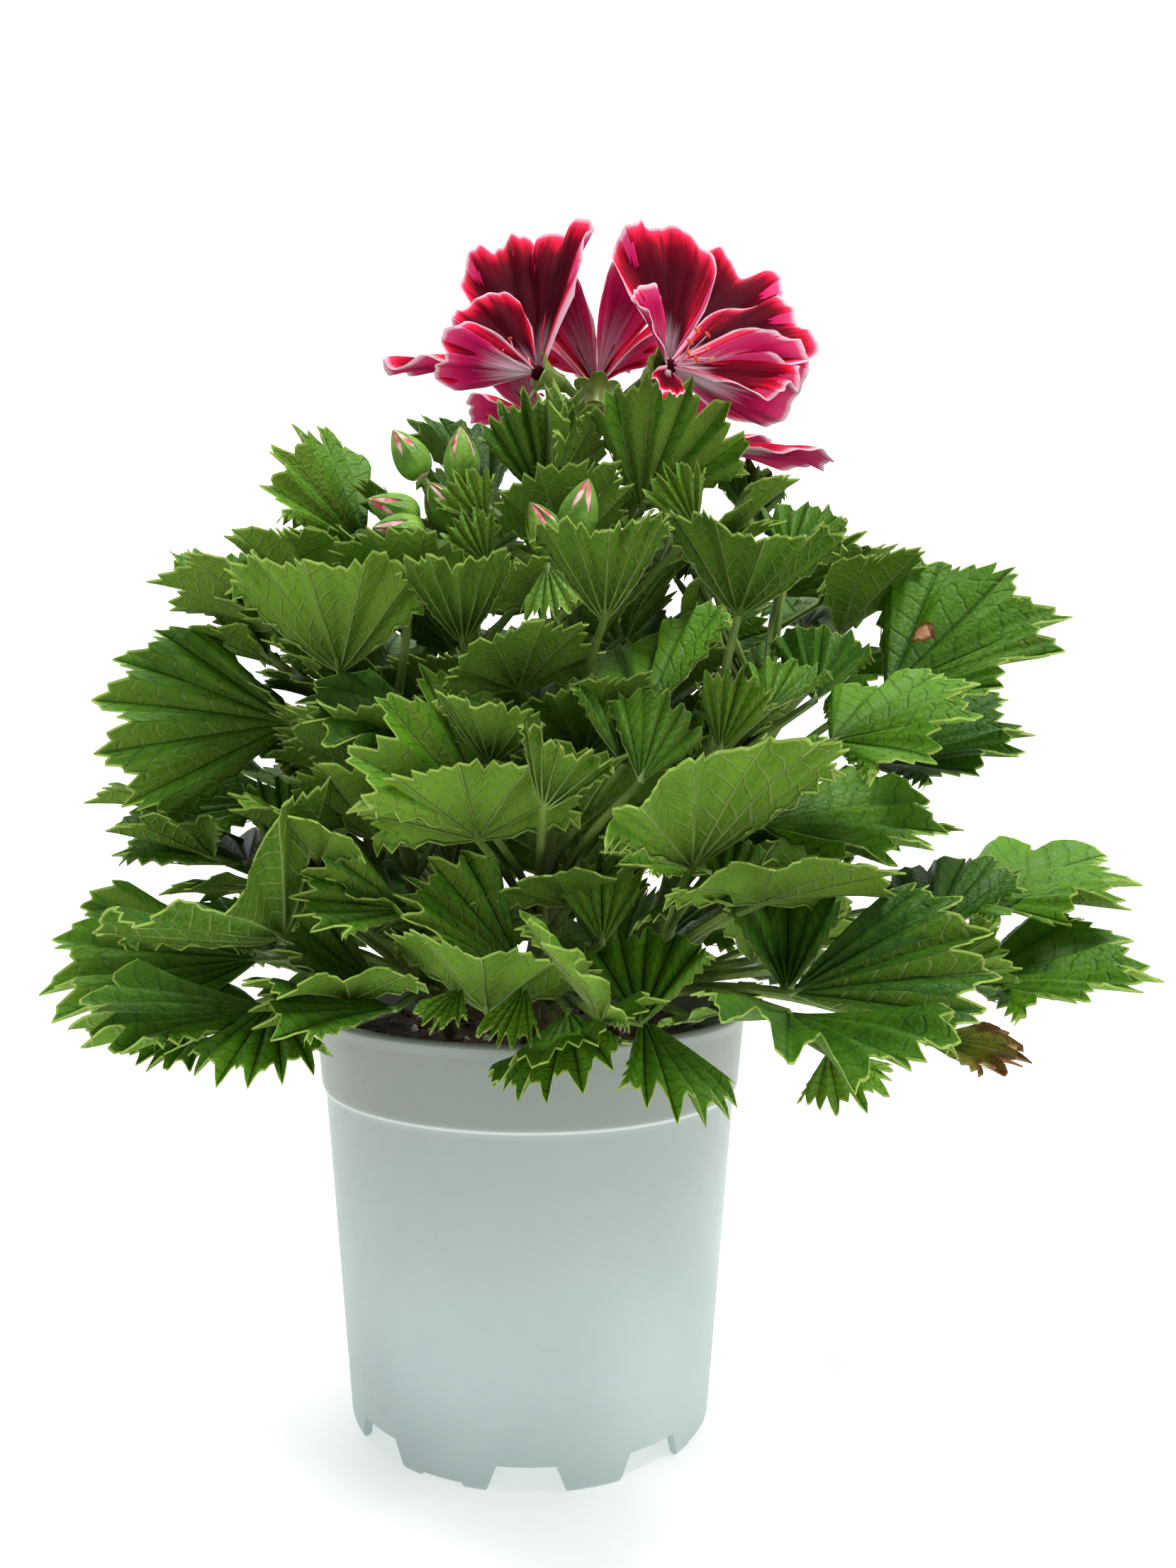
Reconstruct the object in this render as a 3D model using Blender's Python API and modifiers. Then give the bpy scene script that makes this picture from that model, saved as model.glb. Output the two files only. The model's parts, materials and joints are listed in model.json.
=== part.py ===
"""Regal pelargonium in a plain nursery pot, about 33 cm tall.

Leafy stems and one flowering stem stand in plain holes in the soil that fills the pot. Lengths are metres,
and the tables of leaves and petals are millimetres and degrees. The pot's axis is the Z axis while the
pieces are made, with the front of the plant towards -Y, and an empty then sets the whole plant down with
the middle of its box at the origin.
"""

import math
import random
from collections import namedtuple

import bmesh
import bpy
from mathutils import Matrix, Quaternion, Vector
from mathutils.bvhtree import BVHTree

MM = 0.001
UP = Vector((0, 0, 1))

# Pot: a thin moulded wall with a rolled rim, a deep collar and a notched foot
POT_HEIGHT = 0.112
RIM_RADIUS = 0.060
RIM_LIP = 0.0026
COLLAR_FOOT_RADIUS = 0.0577
COLLAR_DROP = 0.0216
BODY_TOP_RADIUS = 0.0566
BODY_FOOT_RADIUS = 0.0493
POT_WALL = 0.0015
FLOOR_UNDERSIDE = 0.0085
FLOOR_THICKNESS = 0.0016
POT_SIDES = 28
FOOT_REPEATS = 4
DEEP_NOTCH_ANGLES = (-1.0, 38.5)
DEEP_NOTCH_HEIGHT = 0.007
DEEP_NOTCH_TOP = 0.0146
DEEP_NOTCH_FOOT = 0.020
SHALLOW_NOTCH_ANGLE = 63.5
SHALLOW_NOTCH_HEIGHT = 0.0015
SHALLOW_NOTCH_WIDTH = 0.0115
DRAIN_RADIUS = 0.004
DRAIN_CIRCLE = 0.026
DRAIN_COUNT = 6

# Soil: a crumbly fill a little below the rim
SOIL_TOP = 0.103
SOIL_BUMP = 0.0014
GAP = 0.0003
STEM_SINK = 0.014
HOLE_GAP = 0.0004
HOLE_SIDES = 8

# Blades: leaves and petals are fans, each a thin sheet with a rib from its foot to its tip
LEAF_THICKNESS = 0.0008
PETAL_THICKNESS = 0.0007
CLEARANCE = 0.0005
FOLD_ROUNDING = 0.12
SIDE_SHORTENING = 0.16

# Stems and stalks
STEM_RADIUS = 0.0030
STEM_TIP_RADIUS = 0.0019
STALK_RADIUS = 0.0014
STALK_END_RADIUS = 0.0012
STALK_ROOT = 0.0012
RIM_CLEARANCE = 0.006
STALK_STEPS = 2
STALK_SIDES = 3
STEM_SIDES = 7
PEDICEL_RADIUS = 0.0011
MERGE = 1e-7

Kind = namedtuple("Kind", "columns inner rim_cuts waves wave lobe_depth tooth claw rounding")
KINDS = {
    "leaf": Kind(2, 0.16, 5, 6, 0.045, 0.10, 0.09, 1.0, 0.0),
    "inner_leaf": Kind(2, 0.16, 3, 6, 0.045, 0.10, 0.09, 1.0, 0.0),
    "petal": Kind(4, 0.50, 1, 3, 0.055, 0.0, 0.0, 0.55, 0.34),
}
LARGE_LEAF = 45
LARGE_LEAF_CUTS = 7

Blade = namedtuple("Blade", "kind stem x y z heading rise turn size fan fold funnel curl")

# Stems: their points from the soil up, in millimetres
STEMS = {
    "stem_front": ((0, -22, 103), (1, -30, 125), (4, -38, 155), (10, -40, 186)),
    "stem_front_left": ((-20, -14, 103), (-27, -22, 128), (-32, -30, 160), (-34, -34, 192)),
    "stem_left": ((-27, 5, 103), (-38, 5, 130), (-46, 5, 165), (-46, 8, 214)),
    "stem_back_left": ((-15, 24, 103), (-22, 36, 130), (-28, 46, 165), (-26, 48, 208)),
    "stem_back": ((8, 28, 103), (10, 44, 130), (14, 56, 160), (14, 58, 205)),
    "stem_back_right": ((26, 17, 103), (38, 28, 130), (48, 36, 165), (47, 36, 215)),
    "stem_right": ((29, -5, 103), (44, -8, 128), (58, -10, 155), (64, -12, 190)),
    "stem_front_right": ((19, -21, 103), (30, -34, 126), (38, -44, 150), (44, -48, 182)),
    "flowering_stem": ((4, 5, 103), (6, 4, 140), (10, 0, 190), (13, -1, 230), (14, 0, 262)),
    "budding_stem": ((-8, -3, 103), (-10, -6, 140), (-14, -12, 190), (-18, -20, 238)),
}

# Leaves that the front of the plant shows: where the blade meets its stalk in millimetres, then the rib's
# heading (0 to the front, 90 to the right) and rise, the turn about the rib, the size in millimetres, half
# the fan's angle, the fold along the rib, the funnel and the downward curl in degrees
FRONT_LEAVES = (
    # Nearest to the viewer
    ("stem_front_right", 36, -76, 155, 11, 42, 17, 48, 52, 2, 0, 4),
    # Crown
    ("flowering_stem", 29, -25, 244, 50, 64, 124, 36, 52, 5, 0, 4),
    ("flowering_stem", 4, -28, 245, -37, 71, -146, 30, 36, 1, 0, 0),
    ("flowering_stem", 7, -36, 241, -1, 74, -95, 33, 40, 0, 0, 0),
    ("flowering_stem", -12, 20, 254, -138, 59, -5, 40, 41, 16, 0, 4),
    ("stem_left", -48, 14, 241, -55, 61, -62, 40, 58, -4, 0, 4),
    ("flowering_stem", 42, -36, 237, -72, 61, -117, 19, 36, 0, 0, 0),
    ("stem_back_right", 62, 12, 248, 174, 54, 26, 30, 37, -7, 0, 0),
    ("stem_right", 70, -12, 233, 154, 47, 10, 28, 36, 6, 0, 0),
    ("stem_right", 70, 4, 226, 69, 37, 74, 30, 41, -14, 0, 4),
    ("stem_front", 17, -66, 211, -2, 31, 4, 36, 54, 46, 0, 4),
    ("stem_front_right", 50, -52, 214, -0, 22, -8, 40, 64, 40, 0, 4),
    ("budding_stem", -30, -16, 230, -149, 36, -17, 31, 60, 13, 0, 4),
    ("budding_stem", -16, -50, 207, 0, 28, 4, 36, 36, 33, 0, 0),
    ("budding_stem", -9, -26, 239, -68, 57, -112, 16, 44, -0, 0, 4),
    ("budding_stem", -10, -34, 228, -66, 63, -113, 16, 43, 0, 0, 4),
    ("stem_front", 4, -62, 224, 14, -60, 27, 15, 49, -14, 0, 4),
    # Left side
    ("stem_front_left", -47, -42, 201, -3, 36, -2, 44, 60, 30, 0, 4),
    ("stem_left", -80, 0, 213, -145, 56, -5, 37, 47, 29, 0, 4),
    ("stem_left", -64, 30, 231, -163, 54, 4, 28, 36, 22, 0, 0),
    ("stem_left", -64, -14, 189, -73, 10, -65, 52, 53, -14, 0, 4),
    ("stem_left", -66, 0, 168, -72, -2, -23, 48, 52, 19, 0, 4),
    ("stem_front_left", -25, -52, 189, -81, 13, -40, 31, 59, -0, 0, 4),
    ("stem_front_left", -62, -32, 151, -161, 56, -0, 30, 36, 31, 0, 0),
    ("stem_left", -74, -24, 152, -129, 14, -4, 40, 50, 1, 0, 4),
    ("stem_front_left", -59, -54, 137, -7, 19, 36, 52, 85, 39, 0, 4),
    ("stem_left", -74, -12, 125, -69, 0, -35, 56, 46, 20, 0, 4),
    ("stem_front_left", -63, -44, 118, -70, -0, -13, 48, 40, 10, 0, 0),
    ("stem_front_left", -62, -50, 122, -7, -17, 1, 29, 47, -1, 0, 4),
    ("stem_left", -88, -12, 108, -28, -19, -7, 24, 40, 2, 0, 0),
    ("stem_front_left", -28, -62, 146, -82, 16, -51, 28, 48, 34, 0, 4),
    ("stem_front_left", -36, -48, 125, -84, 35, -44, 30, 40, 36, 0, 0),
    ("stem_front_left", -32, -56, 125, -80, 8, -13, 34, 43, -1, 0, 4),
    # Middle
    ("stem_front", -10, -60, 181, -178, 53, 24, 44, 52, 14, 0, 4),
    ("stem_front", -9, -68, 178, -7, 36, -13, 26, 50, 32, 0, 4),
    ("stem_front", 3, -80, 168, 11, 35, -32, 28, 41, 39, 0, 4),
    ("stem_front", 27, -44, 194, -175, 60, -32, 44, 56, 11, 0, 4),
    ("stem_front", 21, -74, 178, -167, 54, 22, 26, 40, 16, 0, 0),
    ("stem_front", 24, -80, 174, 149, 54, 36, 27, 36, -14, 0, 0),
    ("stem_front", -8, -60, 155, -84, 55, -62, 44, 60, -14, 0, 4),
    ("stem_front", -1, -62, 129, -89, 38, -47, 37, 41, 34, 0, 4),
    ("stem_front", 17, -60, 136, -169, 85, -14, 22, 42, -0, 0, 4),
    ("stem_front", 25, -70, 121, 166, 48, 1, 37, 43, 13, 0, 4),
    ("stem_front", 16, -80, 122, -23, 43, -38, 34, 47, 4, 0, 4),
    ("stem_front", 9, -65, 121, -20, -33, 19, 25, 60, -6, 0, 4),
    ("stem_front", 26, -63, 119, 31, -29, -9, 31, 43, -7, 0, 4),
    ("stem_front", -1, -66, 127, -28, -39, -5, 18, 36, -14, 0, 0),
    ("stem_front", -16, -62, 126, -39, -34, -8, 14, 44, 11, 0, 4),
    # Right side
    ("stem_right", 94, -20, 197, 65, 28, 42, 49, 79, 25, 0, 4),
    ("stem_front_right", 57, -52, 191, 149, 35, 10, 25, 36, 5, 0, 0),
    ("stem_front_right", 71, -40, 194, 160, 48, 13, 30, 36, -4, 0, 0),
    ("stem_front_right", 69, -66, 183, 72, 27, 23, 35, 86, 4, 0, 4),
    ("stem_right", 95, 0, 179, 69, 16, 31, 44, 68, 19, 0, 4),
    ("stem_front_right", 44, -62, 181, 68, 74, 103, 21, 36, -0, 0, 0),
    ("stem_front_right", 37, -60, 153, -94, 25, -23, 31, 54, 14, 0, 4),
    ("stem_right", 58, -34, 163, 73, 4, 22, 46, 58, 11, 0, 4),
    ("stem_right", 117, 2, 140, 70, 13, 12, 51, 76, 9, 0, 4),
    ("stem_right", 105, -24, 131, 141, 34, -6, 36, 48, 6, 0, 4),
    ("stem_right", 113, -30, 122, 66, 13, 13, 45, 72, 13, 0, 4),
    ("stem_front_right", 59, -70, 126, 74, 25, 48, 46, 42, -14, 0, 4),
    ("stem_front_right", 56, -82, 124, 4, 1, -7, 48, 50, 23, 0, 4),
    ("stem_front_right", 59, -66, 126, 163, 48, -3, 33, 54, 48, 0, 4),
    ("stem_right", 100, -44, 124, 31, 18, -77, 24, 52, 48, 0, 4),
    ("stem_right", 106, -14, 104, 69, -2, 12, 28, 46, 6, 0, 4),
    ("stem_right", 74, -42, 104, 20, -28, 20, 19, 60, -6, 0, 4),
    ("stem_front_right", 46, -58, 138, 160, 52, 0, 23, 38, 13, 0, 0),
)

# Leaves of the back and of the inside, placed by rule in rings: the stems that carry them in turn, the
# ring's height, the blade feet's distance from the axis, first and last heading, count, rise and size
LeafRing = namedtuple("LeafRing", "stems z radius start end count rise size")
BACK_STEMS = ("stem_back_right", "stem_back", "stem_back_left")
FRONT_STEMS = ("stem_left", "stem_front_left", "stem_front", "stem_front_right", "stem_right")
MIDDLE_STEMS = ("flowering_stem", "budding_stem")
LEAF_RINGS = (
    LeafRing(BACK_STEMS, 112, 78, 118, 242, 4, 14, 40),
    LeafRing(BACK_STEMS, 140, 70, 112, 248, 4, 34, 40),
    LeafRing(BACK_STEMS, 172, 62, 118, 242, 4, 44, 40),
    LeafRing(BACK_STEMS, 206, 60, 130, 230, 3, 50, 37),
    LeafRing(MIDDLE_STEMS, 122, 27, 120, 290, 2, 62, 32),
    LeafRing(MIDDLE_STEMS, 150, 24, 20, 300, 2, 62, 34),
    LeafRing(MIDDLE_STEMS, 180, 27, 45, 315, 3, 62, 34),
    LeafRing(MIDDLE_STEMS, 212, 22, 90, 270, 2, 66, 32),
    LeafRing(FRONT_STEMS, 130, 44, -80, 80, 4, 40, 36),
    LeafRing(FRONT_STEMS, 165, 42, -80, 80, 4, 50, 36),
    LeafRing(FRONT_STEMS, 200, 42, -80, 80, 4, 55, 32),
)
RING_SEED = 7

# Petals of each bloom, as the leaves: foot, heading, rise, turn, size, half fan, fold, funnel and curl
Bloom = namedtuple("Bloom", "name throat facing petals")
BLOOMS = (
    Bloom("bloom_left", (2, -12, 284), (-0.85, -0.25, 0.35), (
        (145, 76, -15, 46, 30, 14, 0, 2),
        (-150, 62, -37, 52, 25, 12, 0, 2),
        (-106, 50, -62, 30, 34, 10, 0, 4),
        (-52, -4, 60, 29, 32, 16, 0, -14),
        (-95, 5, -14, 42, 24, 12, 0, 0),
    )),
    Bloom("bloom_right", (36, -27, 281), (0.60, -0.75, 0.15), (
        (-177, 78, 12, 43, 32, 8, 0, 2),
        (135, 48, 43, 54, 30, 6, 0, 4),
        (96, 22, 55, 40, 36, 8, 0, 4),
        (65, -14, 40, 35, 27, 16, 0, 0),
        (87, -14, -47, 36, 38, 10, 0, -10),
        (-31, 32, -80, 24, 36, 40, 0, 0),
        (-14, -43, -34, 19, 24, 16, 0, -10),
    )),
    Bloom("bloom_low_right", (48, 18, 271), (0.62, 0.35, 0.70), (
        (92, 1, 0, 41, 24, 14, 0, 6),
        (134, 16, 0, 32, 34, 14, 0, 6),
        (176, 50, 0, 32, 34, 14, 0, 4),
        (60, 66, 0, 28, 30, 14, 0, 4),
    )),
)
# Petals of the blooms that are seen from behind or only from the back of the plant, placed by rule
RuleBloom = namedtuple("RuleBloom", "name throat facing opening size fan phase")
RULE_BLOOMS = (
    RuleBloom("bloom_middle", (19, 14, 288), (0.05, 0.40, 0.91), 26, 36, 23, 54),
    RuleBloom("bloom_back", (3, 34, 283), (0.05, 0.62, 0.78), 40, 29, 28, 50),
)
PETAL_COUNT = 5
THROAT_RADIUS = 0.0036

# Calyx: a cup with five pointed sepals, joined to its stalk
CALYX_RADIUS = 0.0034
CALYX_LENGTH = 0.0075
SEPAL_REACH = 0.0062
SEPAL_DROOP = 0.0030

# Buds: where each bunch branches, then each bud's tip, all in millimetres
Bunch = namedtuple("Bunch", "stem head tips")
BUNCHES = (
    Bunch("budding_stem", (-18, -20, 238), (
        (-36, -22, 266), (-18, -26, 266), (-42, -30, 246), (-40, -34, 238), (-26, -32, 250),
    )),
    Bunch("stem_front", (8, -50, 226), (
        (0, -56, 240), (14, -54, 246), (6, -60, 232),
    )),
)
BUD_RADIUS = 0.0042
BUD_LENGTH = 0.0150

COLOURS = {
    "pot": ((0.62, 0.70, 0.69), 0.42),
    "soil": ((0.035, 0.026, 0.020), 0.95),
    "leaf": ((0.075, 0.200, 0.030), 0.50),
    "petal": ((0.420, 0.006, 0.035), 0.50),
}


def material(name):
    """A plain surface of one of the plant's colours."""
    made = bpy.data.materials.get(name)
    if made:
        return made
    colour, roughness = COLOURS[name]
    made = bpy.data.materials.new(name)
    made.use_nodes = True
    shader = made.node_tree.nodes["Principled BSDF"]
    shader.inputs["Base Color"].default_value = (*colour, 1)
    shader.inputs["Roughness"].default_value = roughness
    shader.inputs["Metallic"].default_value = 0
    return made


def new_object(name, mesh, collection, finish=None):
    """An object for a mesh, in a collection, with one of the plant's colours."""
    made = bpy.data.objects.new(name, mesh)
    collection.objects.link(made)
    if finish:
        mesh.materials.clear()
        mesh.materials.append(material(finish))
    return made


def mesh_from(bm, name):
    """A bmesh as a mesh, freeing the bmesh."""
    mesh = bpy.data.meshes.new(name)
    bm.to_mesh(mesh)
    bm.free()
    return mesh


def direction(heading, rise):
    """A unit vector from a heading (0 to the front, 90 to the right) and a rise, in degrees."""
    turn = math.radians(heading)
    lift = math.radians(rise)
    return Vector((math.sin(turn) * math.cos(lift), -math.cos(turn) * math.cos(lift), math.sin(lift)))


# Blades


def edge_reach(kind, s):
    """How far the blade's edge reaches at s, -1 to 1 across the fan, as a share of its size."""
    lobe = 0.5 - 0.5 * math.cos(math.pi * s * kind.waves)
    side = SIDE_SHORTENING * abs(s) ** 3 + kind.rounding * s ** 4
    return (1 - kind.lobe_depth * lobe) * (1 - side)


def fan_point(blade, t, s):
    """A blade's point in its own axes, +Y along the rib and +Z out of the upper face, t from foot to edge."""
    kind = KINDS[blade.kind]
    spread = math.radians(blade.fan) * s * (kind.claw + (1 - kind.claw) * t)
    reach = blade.size * MM * t * edge_reach(kind, s)
    lift = math.radians(blade.funnel - blade.curl * t)
    fold = math.radians(blade.fold)
    x = reach * math.cos(lift) * math.sin(spread)
    y = reach * math.cos(lift) * math.cos(spread)
    hinge = FOLD_ROUNDING * blade.size * MM
    wave = -kind.wave * blade.size * MM * t * math.cos(math.pi * s * kind.waves)
    z = reach * math.sin(lift) + (math.hypot(x, hinge) - hinge) * math.sin(fold) + wave
    return Vector((x * math.cos(fold), y, z))


def blade_frame(blade):
    """The blade's axes in the plant: its side, its rib and its upper face, at its foot."""
    rib = direction(blade.heading, blade.rise)
    face = direction(blade.heading, blade.rise + 90)
    face.rotate(Quaternion(rib, math.radians(blade.turn)))
    side = rib.cross(face)
    axes = Matrix((side, rib, face)).transposed().to_4x4()
    return Matrix.Translation(Vector((blade.x, blade.y, blade.z)) * MM) @ axes


def blade_bmesh(blade, thickness):
    """A blade as a thin closed solid, with its notched rim and the same triangles on both faces."""
    kind = KINDS[blade.kind]
    bm = bmesh.new()
    bmesh.ops.create_grid(bm, x_segments=kind.columns, y_segments=2, size=1)
    for v in bm.verts:
        if abs(v.co.y) < 0.001:
            v.co.y = 2 * kind.inner - 1
    foot = [v for v in bm.verts if v.co.y < -0.999]
    bmesh.ops.pointmerge(bm, verts=foot, merge_co=(0, -1, 0))
    rim = [e for e in bm.edges if all(v.co.y > 0.999 for v in e.verts)]
    large = blade.kind == "leaf" and blade.size > LARGE_LEAF
    bmesh.ops.subdivide_edges(bm, edges=rim, cuts=LARGE_LEAF_CUTS if large else kind.rim_cuts)
    notches = sorted((v for v in bm.verts if v.co.y > 0.999), key=lambda v: v.co.x)[1::2]
    for v in notches:
        v.co.z = -kind.tooth
    bmesh.ops.triangulate(bm, faces=bm.faces[:])
    frame = blade_frame(blade)
    for v in bm.verts:
        v.co = frame @ fan_point(blade, (v.co.y + 1) / 2 + v.co.z, v.co.x)
    bm.normal_update()
    for v in bm.verts:
        v.co += v.normal * thickness / 2
    bmesh.ops.solidify(bm, geom=bm.faces[:], thickness=thickness)
    bmesh.ops.recalc_face_normals(bm, faces=bm.faces[:])
    return bm


# Stems and stalks


def on_path(points, height):
    """The point of a stem at a height, held to its ends."""
    for low, high in zip(points, points[1:]):
        if low.z <= height <= high.z:
            return low.lerp(high, (height - low.z) / (high.z - low.z))
    return points[-1].copy() if height > points[-1].z else points[0].copy()


def stem_points(name):
    """A stem's points in metres, from its foot in the soil."""
    points = [Vector(p) * MM for p in STEMS[name]]
    return [points[0] - UP * STEM_SINK] + points


def stalk_points(blade):
    """The stalk from its stem out and up to the blade, ending a little way along the rib."""
    foot = Vector((blade.x, blade.y, blade.z)) * MM
    path = stem_points(blade.stem)[1:]
    away = (foot - on_path(path, foot.z)).to_2d().length
    root = on_path(path, max(POT_HEIGHT + RIM_CLEARANCE, foot.z - 0.6 * away - 6 * MM))
    rib = direction(blade.heading, blade.rise)
    bend = root.lerp(foot, 0.6) + UP * 0.10 * (foot - root).length - rib * 2 * MM
    points = []
    for step in range(STALK_STEPS + 1):
        u = step / STALK_STEPS
        points.append(root.lerp(bend, u).lerp(bend.lerp(foot, u), u))
    start = (points[0] - points[1]).normalized() * STEM_TIP_RADIUS / 2
    points[0] = points[0] + start
    points.append(foot + rib * STALK_ROOT)
    return points


def outline(sides):
    """A closed ring of the given number of sides and radius 1, the section of a stalk."""
    name = f"outline_{sides}"
    made = bpy.data.objects.get(name)
    if made:
        return made
    curve = bpy.data.curves.new(name, "CURVE")
    curve.dimensions = "2D"
    ring = curve.splines.new("POLY")
    ring.points.add(sides - 1)
    for i, point in enumerate(ring.points):
        angle = math.tau * i / sides
        point.co = (math.cos(angle), math.sin(angle), 0, 1)
    ring.use_cyclic_u = True
    made = bpy.data.objects.new(name, curve)
    bpy.data.collections["cutters"].objects.link(made)
    made.display_type = "WIRE"
    made.hide_render = True
    return made


def tube(name, points, radii, sides):
    """A stem, stalk or branch as a mesh, from a poly curve with an outline and filled caps."""
    curve = bpy.data.curves.new(name, "CURVE")
    curve.dimensions = "3D"
    curve.bevel_mode = "OBJECT"
    curve.bevel_object = outline(sides)
    curve.use_fill_caps = True
    spline = curve.splines.new("POLY")
    spline.points.add(len(points) - 1)
    for slot, point, radius in zip(spline.points, points, radii):
        slot.co = (*point, 1)
        slot.radius = radius
    guide = bpy.data.objects.new(name, curve)
    bpy.context.scene.collection.objects.link(guide)
    mesh = bpy.data.meshes.new_from_object(guide.evaluated_get(bpy.context.evaluated_depsgraph_get()))
    bpy.data.objects.remove(guide)
    bpy.data.curves.remove(curve)
    bm = bmesh.new()
    bm.from_mesh(mesh)
    bmesh.ops.remove_doubles(bm, verts=bm.verts[:], dist=MERGE)
    bmesh.ops.recalc_face_normals(bm, faces=bm.faces[:])
    bm.to_mesh(mesh)
    bm.free()
    return mesh


def tapered(count, start, end):
    """Radii that fall evenly along a tube."""
    return [start + (end - start) * i / (count - 1) for i in range(count)]


def probe_tube(points, radius):
    """A three-sided outline round a stalk, only to test what it would touch."""
    verts = []
    for i, point in enumerate(points):
        ahead = (points[min(i + 1, len(points) - 1)] - points[max(i - 1, 0)]).normalized()
        side = ahead.orthogonal().normalized()
        for k in range(3):
            verts.append(point + Quaternion(ahead, math.tau * k / 3) @ side * radius)
    faces = []
    for i in range(len(points) - 1):
        for k in range(3):
            a = 3 * i + k
            b = 3 * i + (k + 1) % 3
            faces.append((a, b, b + 3, a + 3))
    return BVHTree.FromPolygons(verts, faces)


# Keeping clear


def blade_probe(blade):
    """The blade with a skin of clearance round it."""
    thickness = PETAL_THICKNESS if blade.kind == "petal" else LEAF_THICKNESS
    bm = blade_bmesh(blade, thickness + 2 * CLEARANCE)
    tree = BVHTree.FromBMesh(bm)
    bm.free()
    return tree


def blade_trees(blade):
    """What a blade and its stalk would touch with."""
    trees = [blade_probe(blade)]
    if blade.kind != "petal":
        trees.append(probe_tube(stalk_points(blade), STALK_RADIUS + 3 * CLEARANCE))
    return trees


def touches(trees, others):
    """Whether any of the trees meets one of the others."""
    return any(tree.overlap(other) for tree in trees for other in others)


NUDGES = [(0, 0, 0, 0, 0)]
for amount in (1, 2, 3):
    for sign in (1, -1):
        NUDGES += [
            (5 * amount * sign, 0, 0, 0, 0),
            (0, 5 * amount * sign, 0, 0, 0),
            (0, 0, 8 * amount * sign, 0, 0),
            (0, 0, 0, 2.5 * amount * sign, 0),
            (0, 0, 0, 0, 2.5 * amount * sign),
            (5 * amount * sign, 5 * amount, 0, 0, 2 * amount),
            (5 * amount * sign, -5 * amount, 0, 0, -2 * amount),
        ]


def nudged(blade, nudge):
    """The blade with its heading, rise and turn changed a little, and on a leaf its place as well."""
    heading, rise, turn, out, up = nudge
    if blade.kind == "petal":
        out = up = 0
    away = Vector((blade.x, blade.y)).normalized() * out
    return blade._replace(
        heading=blade.heading + heading,
        rise=blade.rise + rise,
        turn=blade.turn + turn,
        x=blade.x + away.x,
        y=blade.y + away.y,
        z=blade.z + up,
    )


def crossings(trees, blades):
    """How many faces of a blade and its stalk cross the blades."""
    return sum(len(tree.overlap(other)) for tree in trees for other in blades)


def bent_clear(blade, placed, fixed):
    """The blade bent clear of all that other pieces bear, and as far as can be of its own stem's blades."""
    foreign = [tree for stem, trees in placed if stem != blade.stem for tree in trees] + fixed
    own = []
    if blade.kind != "petal":
        own = [trees[0] for stem, trees in placed if stem == blade.stem and len(trees) > 1]
    for share in (1.0, 0.85, 0.7):
        best = None
        least = math.inf
        for bends, nudge in enumerate(NUDGES):
            if bends >= least:
                break
            tried = nudged(blade._replace(size=blade.size * share), nudge)
            trees = blade_trees(tried)
            if touches(trees, foreign):
                continue
            cost = bends + crossings(trees, own)
            if cost < least:
                least = cost
                best = tried
        if best:
            return best
    return None


def ring_leaves():
    """The leaves of the back and the inside, in rings with a seeded unevenness."""
    draw = random.Random(RING_SEED)
    leaves = []
    for ring in LEAF_RINGS:
        for i in range(ring.count):
            heading = ring.start + (ring.end - ring.start) * i / (ring.count - 1) + draw.uniform(-6, 6)
            radius = ring.radius + draw.uniform(-6, 6)
            place = direction(heading, 0) * radius
            share = (heading - ring.start) / (ring.end - ring.start) * len(ring.stems)
            stem = ring.stems[max(0, min(len(ring.stems) - 1, int(share)))]
            leaves.append(Blade(
                "inner_leaf", stem, place.x, place.y, ring.z + draw.uniform(-6, 6),
                heading + draw.uniform(-14, 14), ring.rise + draw.uniform(-8, 8), draw.uniform(-14, 14),
                ring.size + draw.uniform(-5, 4), 92 + draw.uniform(-10, 8), 14 + draw.uniform(-8, 12),
                draw.choice((0, 0, 14)), 6 + draw.uniform(-4, 10),
            ))
    return leaves


def placed_leaves(fixed):
    """Every leaf of the plant, in order, each bent clear of those before it."""
    wanted = [Blade("leaf", *row) for row in FRONT_LEAVES] + ring_leaves()
    placed = [(name, [probe_tube(stem_points(name), 2 * STEM_RADIUS)]) for name in STEMS]
    leaves = []
    for blade in wanted:
        clear = bent_clear(blade, placed, fixed)
        if clear is None:
            print("left out:", blade)
            continue
        leaves.append(clear)
        placed.append((clear.stem, blade_trees(clear)))
    return leaves


# Joining


def joined(name, first, others, collection, finish):
    """One solid of a first mesh and the others, keeping only its largest body."""
    base = new_object(name, first, collection)
    extra = bpy.data.collections.new(name + "_pieces")
    bpy.context.scene.collection.children.link(extra)
    for i, mesh in enumerate(others):
        new_object(f"{name}_piece_{i}", mesh, extra)
    union = base.modifiers.new("join", "BOOLEAN")
    union.operation = "UNION"
    union.operand_type = "COLLECTION"
    union.collection = extra
    bpy.context.view_layer.update()
    whole = bpy.data.meshes.new_from_object(base.evaluated_get(bpy.context.evaluated_depsgraph_get()))
    base.modifiers.clear()
    base.data = whole
    for piece in list(extra.objects):
        bpy.data.objects.remove(piece)
    bpy.data.collections.remove(extra)
    keep_largest_body(whole)
    whole.materials.clear()
    whole.materials.append(material(finish))
    return base


def is_convex(face):
    """Whether a face turns the same way at each of its corners."""
    corners = [v.co for v in face.verts]
    for i, corner in enumerate(corners):
        ahead = corners[(i + 1) % len(corners)] - corner
        if (corner - corners[i - 1]).cross(ahead).dot(face.normal) <= 0:
            return False
    return True


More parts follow.
